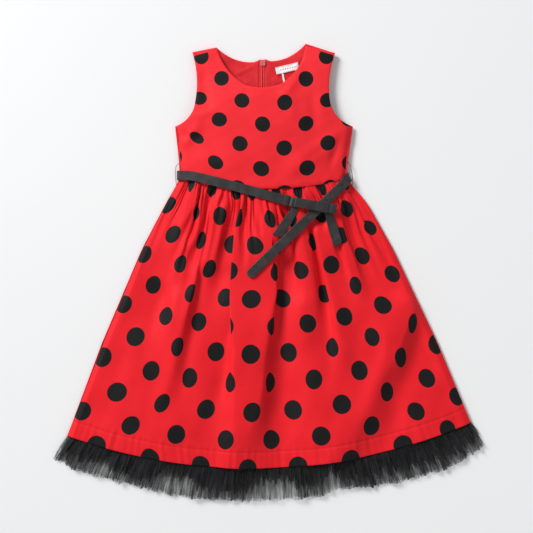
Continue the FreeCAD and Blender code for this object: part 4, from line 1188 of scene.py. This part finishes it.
def belt_end():
    """The belt's free end with its holes, laid over the front: its top and its underside."""
    def plan(a, b):
        """A point that far along the free end from its first hole, and that far across."""
        p = np.array([*END_START, 0.0]) + END_ALONG * a + END_ACROSS * b
        return float(p[0]), float(p[1])

    half = BELT_WIDTH / 2 - 0.3
    length = math.dist(END_START, END_TIP)
    tip = arc((length - half, half), (length, 0.0), (length - half, -half), 22)
    outline = [plan(*p) for p in [(-9.0, -half), (-9.0, half)] + tip + [(length - half, -half)]][::-1]
    turns = np.arange(20) * math.tau / 20
    centres = [plan(k * HOLE_PITCH, 0.0) for k in range(HOLE_COUNT)]
    holes = [[(cx + RIM_RADIUS * math.cos(t), cy + RIM_RADIUS * math.sin(t)) for t in turns]
             for cx, cy in centres]
    flat, faces, sizes = filled(outline, 3.2, holes)
    b = (flat - END_START) @ END_ACROSS[:2]
    heights = over_front(flat, END_LEVEL + BELT_THICK)[:, 2] + 0.1 * (1 - (b / half) ** 2)
    edge = [(0.18, 0.08), (0.3, 0.3), (0.3, 1.0), (0.18, 1.25), (0.0, 1.33)]
    verts, top_faces, _ = rolled(flat, faces, sizes, heights, edge)
    below = np.column_stack([flat, heights - 1.33]), [f[::-1] for f in faces]
    return (verts, top_faces), below


def round_loop(half_wide, low, high, corner, count=7):
    """A closed loop with rounded corners, as (across, up) points."""
    out = []
    for sx, sz, first in CORNERS:
        cx = sx * (half_wide - corner)
        cz = high - corner if sz > 0 else low + corner
        for k in range(count):
            angle = math.radians(first + 90.0 * k / (count - 1))
            out.append((cx + corner * math.cos(angle), cz + corner * math.sin(angle)))
    dense = []
    for p, q in zip(out, out[1:] + out[:1]):
        steps = max(1, int(math.dist(p, q) / 1.5))
        dense += [(p[0] + (q[0] - p[0]) * k / steps, p[1] + (q[1] - p[1]) * k / steps)
                  for k in range(steps)]
    return dense


def leather(name, mesh, body="belt"):
    piece(f"{name}_leather", *mesh, "belt_leather", body)


def belt_keeper():
    middle = over_front([KEEPER_FROM, KEEPER_TO], BELT_LEVEL + BELT_THICK / 2).mean(0)
    along, across = way(KEEPER_FROM, KEEPER_TO)
    path = [middle + across * a + UP * n for a, n in round_loop(8.9, -1.35, 1.4, 1.2)]
    leather("belt_keeper", sweep(path, along, 7.7, 0.8, closed=True))


BOW_S = np.array([math.cos(BOW_TILT) * math.cos(BOW_TURN), math.cos(BOW_TILT) * math.sin(BOW_TURN),
                  -math.sin(BOW_TILT)])
BOW_W = np.array([-math.sin(BOW_TURN), math.cos(BOW_TURN), 0.0])
BOW_N = np.cross(BOW_S, BOW_W)


def bow_point(s, w, n):
    """A point in the bow's own frame: along it from the hinge, across it and up."""
    return np.array(HINGE) + BOW_S * s + BOW_W * w + BOW_N * n


def bow_loops():
    """One band folded into two flat loops, a little puffed beside the knot."""
    low, high = BOW_LOW + BOW_WALL / 2, BOW_LOW + BOW_HEIGHT - BOW_WALL / 2
    middle, half = (BOW_START + BOW_END) / 2, (BOW_END - BOW_START) / 2 - BOW_WALL / 2
    path = []
    for a, n in round_loop(half, low, high, (high - low) / 2, 9):
        s = middle + a
        if n > (low + high) / 2:
            n += sum(tall * bump(s, centre, wide) for centre, wide, tall in
                     ((24.0, 11.0, 1.1), (69.0, 3.5, 0.7), (40.0, 4.0, -0.25), (61.5, 2.5, -0.25)))
        path.append(bow_point(s, 0.0, n))
    leather("bow_loops", sweep(path, BOW_W, BELT_WIDTH, BOW_WALL, closed=True), "bow")


def bow_knot():
    path = []
    for w, n in round_loop(BELT_WIDTH / 2 + 0.55, BOW_LOW - 0.45, BOW_LOW + BOW_HEIGHT + 0.5, 1.6):
        crown = 0.25 * (1 - (w / 8.5) ** 2) if n > 6.5 else 0.0
        path.append(bow_point(KNOT_START + KNOT_LENGTH / 2, w, n + crown))
    leather("bow_knot", sweep(path, BOW_S, KNOT_LENGTH, KNOT_WALL, closed=True), "bow")


def bow_tail(side):
    points, levels, slant, body = TAILS[side]
    levels = np.array(levels)
    both = spline(np.column_stack([over_front(points, levels + 0.4), levels]), 2.2)
    path = over_front(both[:, :2], both[:, 3] + 0.4)
    heading = (path[-1] - path[-3]) / np.linalg.norm(path[-1] - path[-3])
    across = np.array([-heading[1], heading[0], 0.0])
    leather(f"bow_tail_{side}", sweep(path, across, TAIL_WIDTHS, 0.8, slant=slant), body)


def thread_loop(side):
    """A chain of thread at the side seam that the belt runs through, of two twisted yarns."""
    path = spline(LOOPS[side], 0.5)
    far = np.linspace(0, len(path) * 0.5, len(path))
    strands = []
    for phase in (0.0, math.pi):
        turn = far * math.tau / 2.6 + phase
        wound = path + np.column_stack([0.28 * np.cos(turn), 0 * turn, 0.28 * np.sin(turn)])
        strands.append(tube(wound, 0.34, 7))
    piece(f"belt_loop_{side}_thread", *joined(*strands), "thread")


def size_tab():
    """The narrow folded size tab, standing nearly on edge under the label."""
    along = np.array([-math.sin(TAB_TURN), math.cos(TAB_TURN), 0.0])
    path = np.array([*TAB_FOOT, 0.0]) + along * np.linspace(0.0, TAB_SIZE[1], 16)[:, None]
    path[:, 2] = lining_back_height(path[:, 0], path[:, 1]) + 1.6
    verts, faces = sweep(path, np.cross(along, UP), TAB_SIZE[0], 0.5)
    piece("size_tab_satin", verts, faces, "label_satin", attributes=plain(verts[:, 0], verts[:, 1]))


def hem_stitching(every=3.4, length=2.3, radius=0.2, lift=0.28):
    """The hem's row of small raised stitches."""
    path = FRONT_POINTS[int(np.argmin(abs(FRONT_V - HEM_STITCH)))][8:-8:2]
    far = np.concatenate([[0], np.cumsum(np.linalg.norm(np.diff(path, axis=0), axis=1))])
    meshes = []
    for start in np.arange(0.5, far[-1] - length, every):
        marks = np.linspace(start, start + length, 5)
        p = np.column_stack([np.interp(marks, far, path[:, k]) for k in range(3)])
        p[:, 2] += lift * np.array([-0.6, 0.6, 0.9, 0.6, -0.6])
        meshes.append(tube(p, radius, 5))
    piece("hem_stitching", *joined(*meshes), "thread")


for half in ("left", "right"):
    skirt_back(half)
for half in ("front", "back"):
    skirt_lining(half)
for layer in ("outer", "inner"):
    for half in ("front", "back"):
        tulle(layer, half)
bodice_front()
bodice_lining_front()
for half in ("left", "right"):
    bodice_back(half)
    bodice_lining_back(half)
for half in ("left", "right"):
    zip_coil(half)
    zip_tape(half)
neck_label()
for half in ("left", "right"):
    thread_loop(half)
leather("belt_strap", joined(belt_round(), *belt_end()))
belt_keeper()
bow_loops()
bow_knot()
for half in ("left", "right"):
    bow_tail(half)
size_tab()
hem_stitching()

for node, look in (("zip_slider", "zip_lacquer"), ("zip_pull", "zip_lacquer"),
                   ("zip_top_stops", "zip_metal"), ("zip_bottom_stop", "zip_metal"),
                   ("belt_hinge_bar", "clasp_metal"), ("bow_clasp_plate", "clasp_metal")):
    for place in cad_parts[node].material_slots:
        place.material = LOOKS[look]


# ---------------------------------------------------------------- stage
def stage():
    """A pale floor, soft studio light and a camera straight over the dress."""
    bpy.ops.mesh.primitive_plane_add(size=14)
    floor = bpy.context.object
    floor.name = "floor"
    floor.location.z = -0.0002
    n = Nodes("floor_pale", Roughness=0.9, Specular_IOR_Level=0.1)
    pale = n.mix(n.noise(n.object_place(), 2.0, 2.0), (0.82, 0.822, 0.828), (0.84, 0.842, 0.845))
    floor.data.materials.append(n.finish(pale))
    scene = bpy.context.scene
    scene.world = bpy.data.worlds.new("studio")
    scene.world.use_nodes = True
    background = scene.world.node_tree.nodes["Background"].inputs
    background[0].default_value, background[1].default_value = (0.98, 0.99, 1.0, 1.0), 0.42
    for name, kind, place, size, power in (("key", "SUN", (-2.6, 2.34, 2.25), 0.38, 2.4),
                                           ("window", "AREA", (-1.5, 1.35, 1.33), 1.0, 20.0),
                                           ("fill", "AREA", (1.8, -0.8, 2.4), 2.4, 6.0)):
        light = bpy.data.lights.new(name, kind)
        light.energy = power
        setattr(light, "angle" if kind == "SUN" else "size", size)
        lamp = bpy.data.objects.new(name, light)
        scene.collection.objects.link(lamp)
        lamp.location = place
        lamp.rotation_euler = (-Vector(place)).to_track_quat("-Z", "Y").to_euler()
    camera = bpy.data.cameras.new("camera")
    camera.lens, camera.sensor_width = 85.0, 36.0
    eye = bpy.data.objects.new("camera", camera)
    scene.collection.objects.link(eye)
    eye.location = (-5.1 * MM, 10.2 * MM, 0.906 * camera.lens / camera.sensor_width + 0.015)
    scene.camera = eye
    scene.view_settings.view_transform = "Standard"


stage()
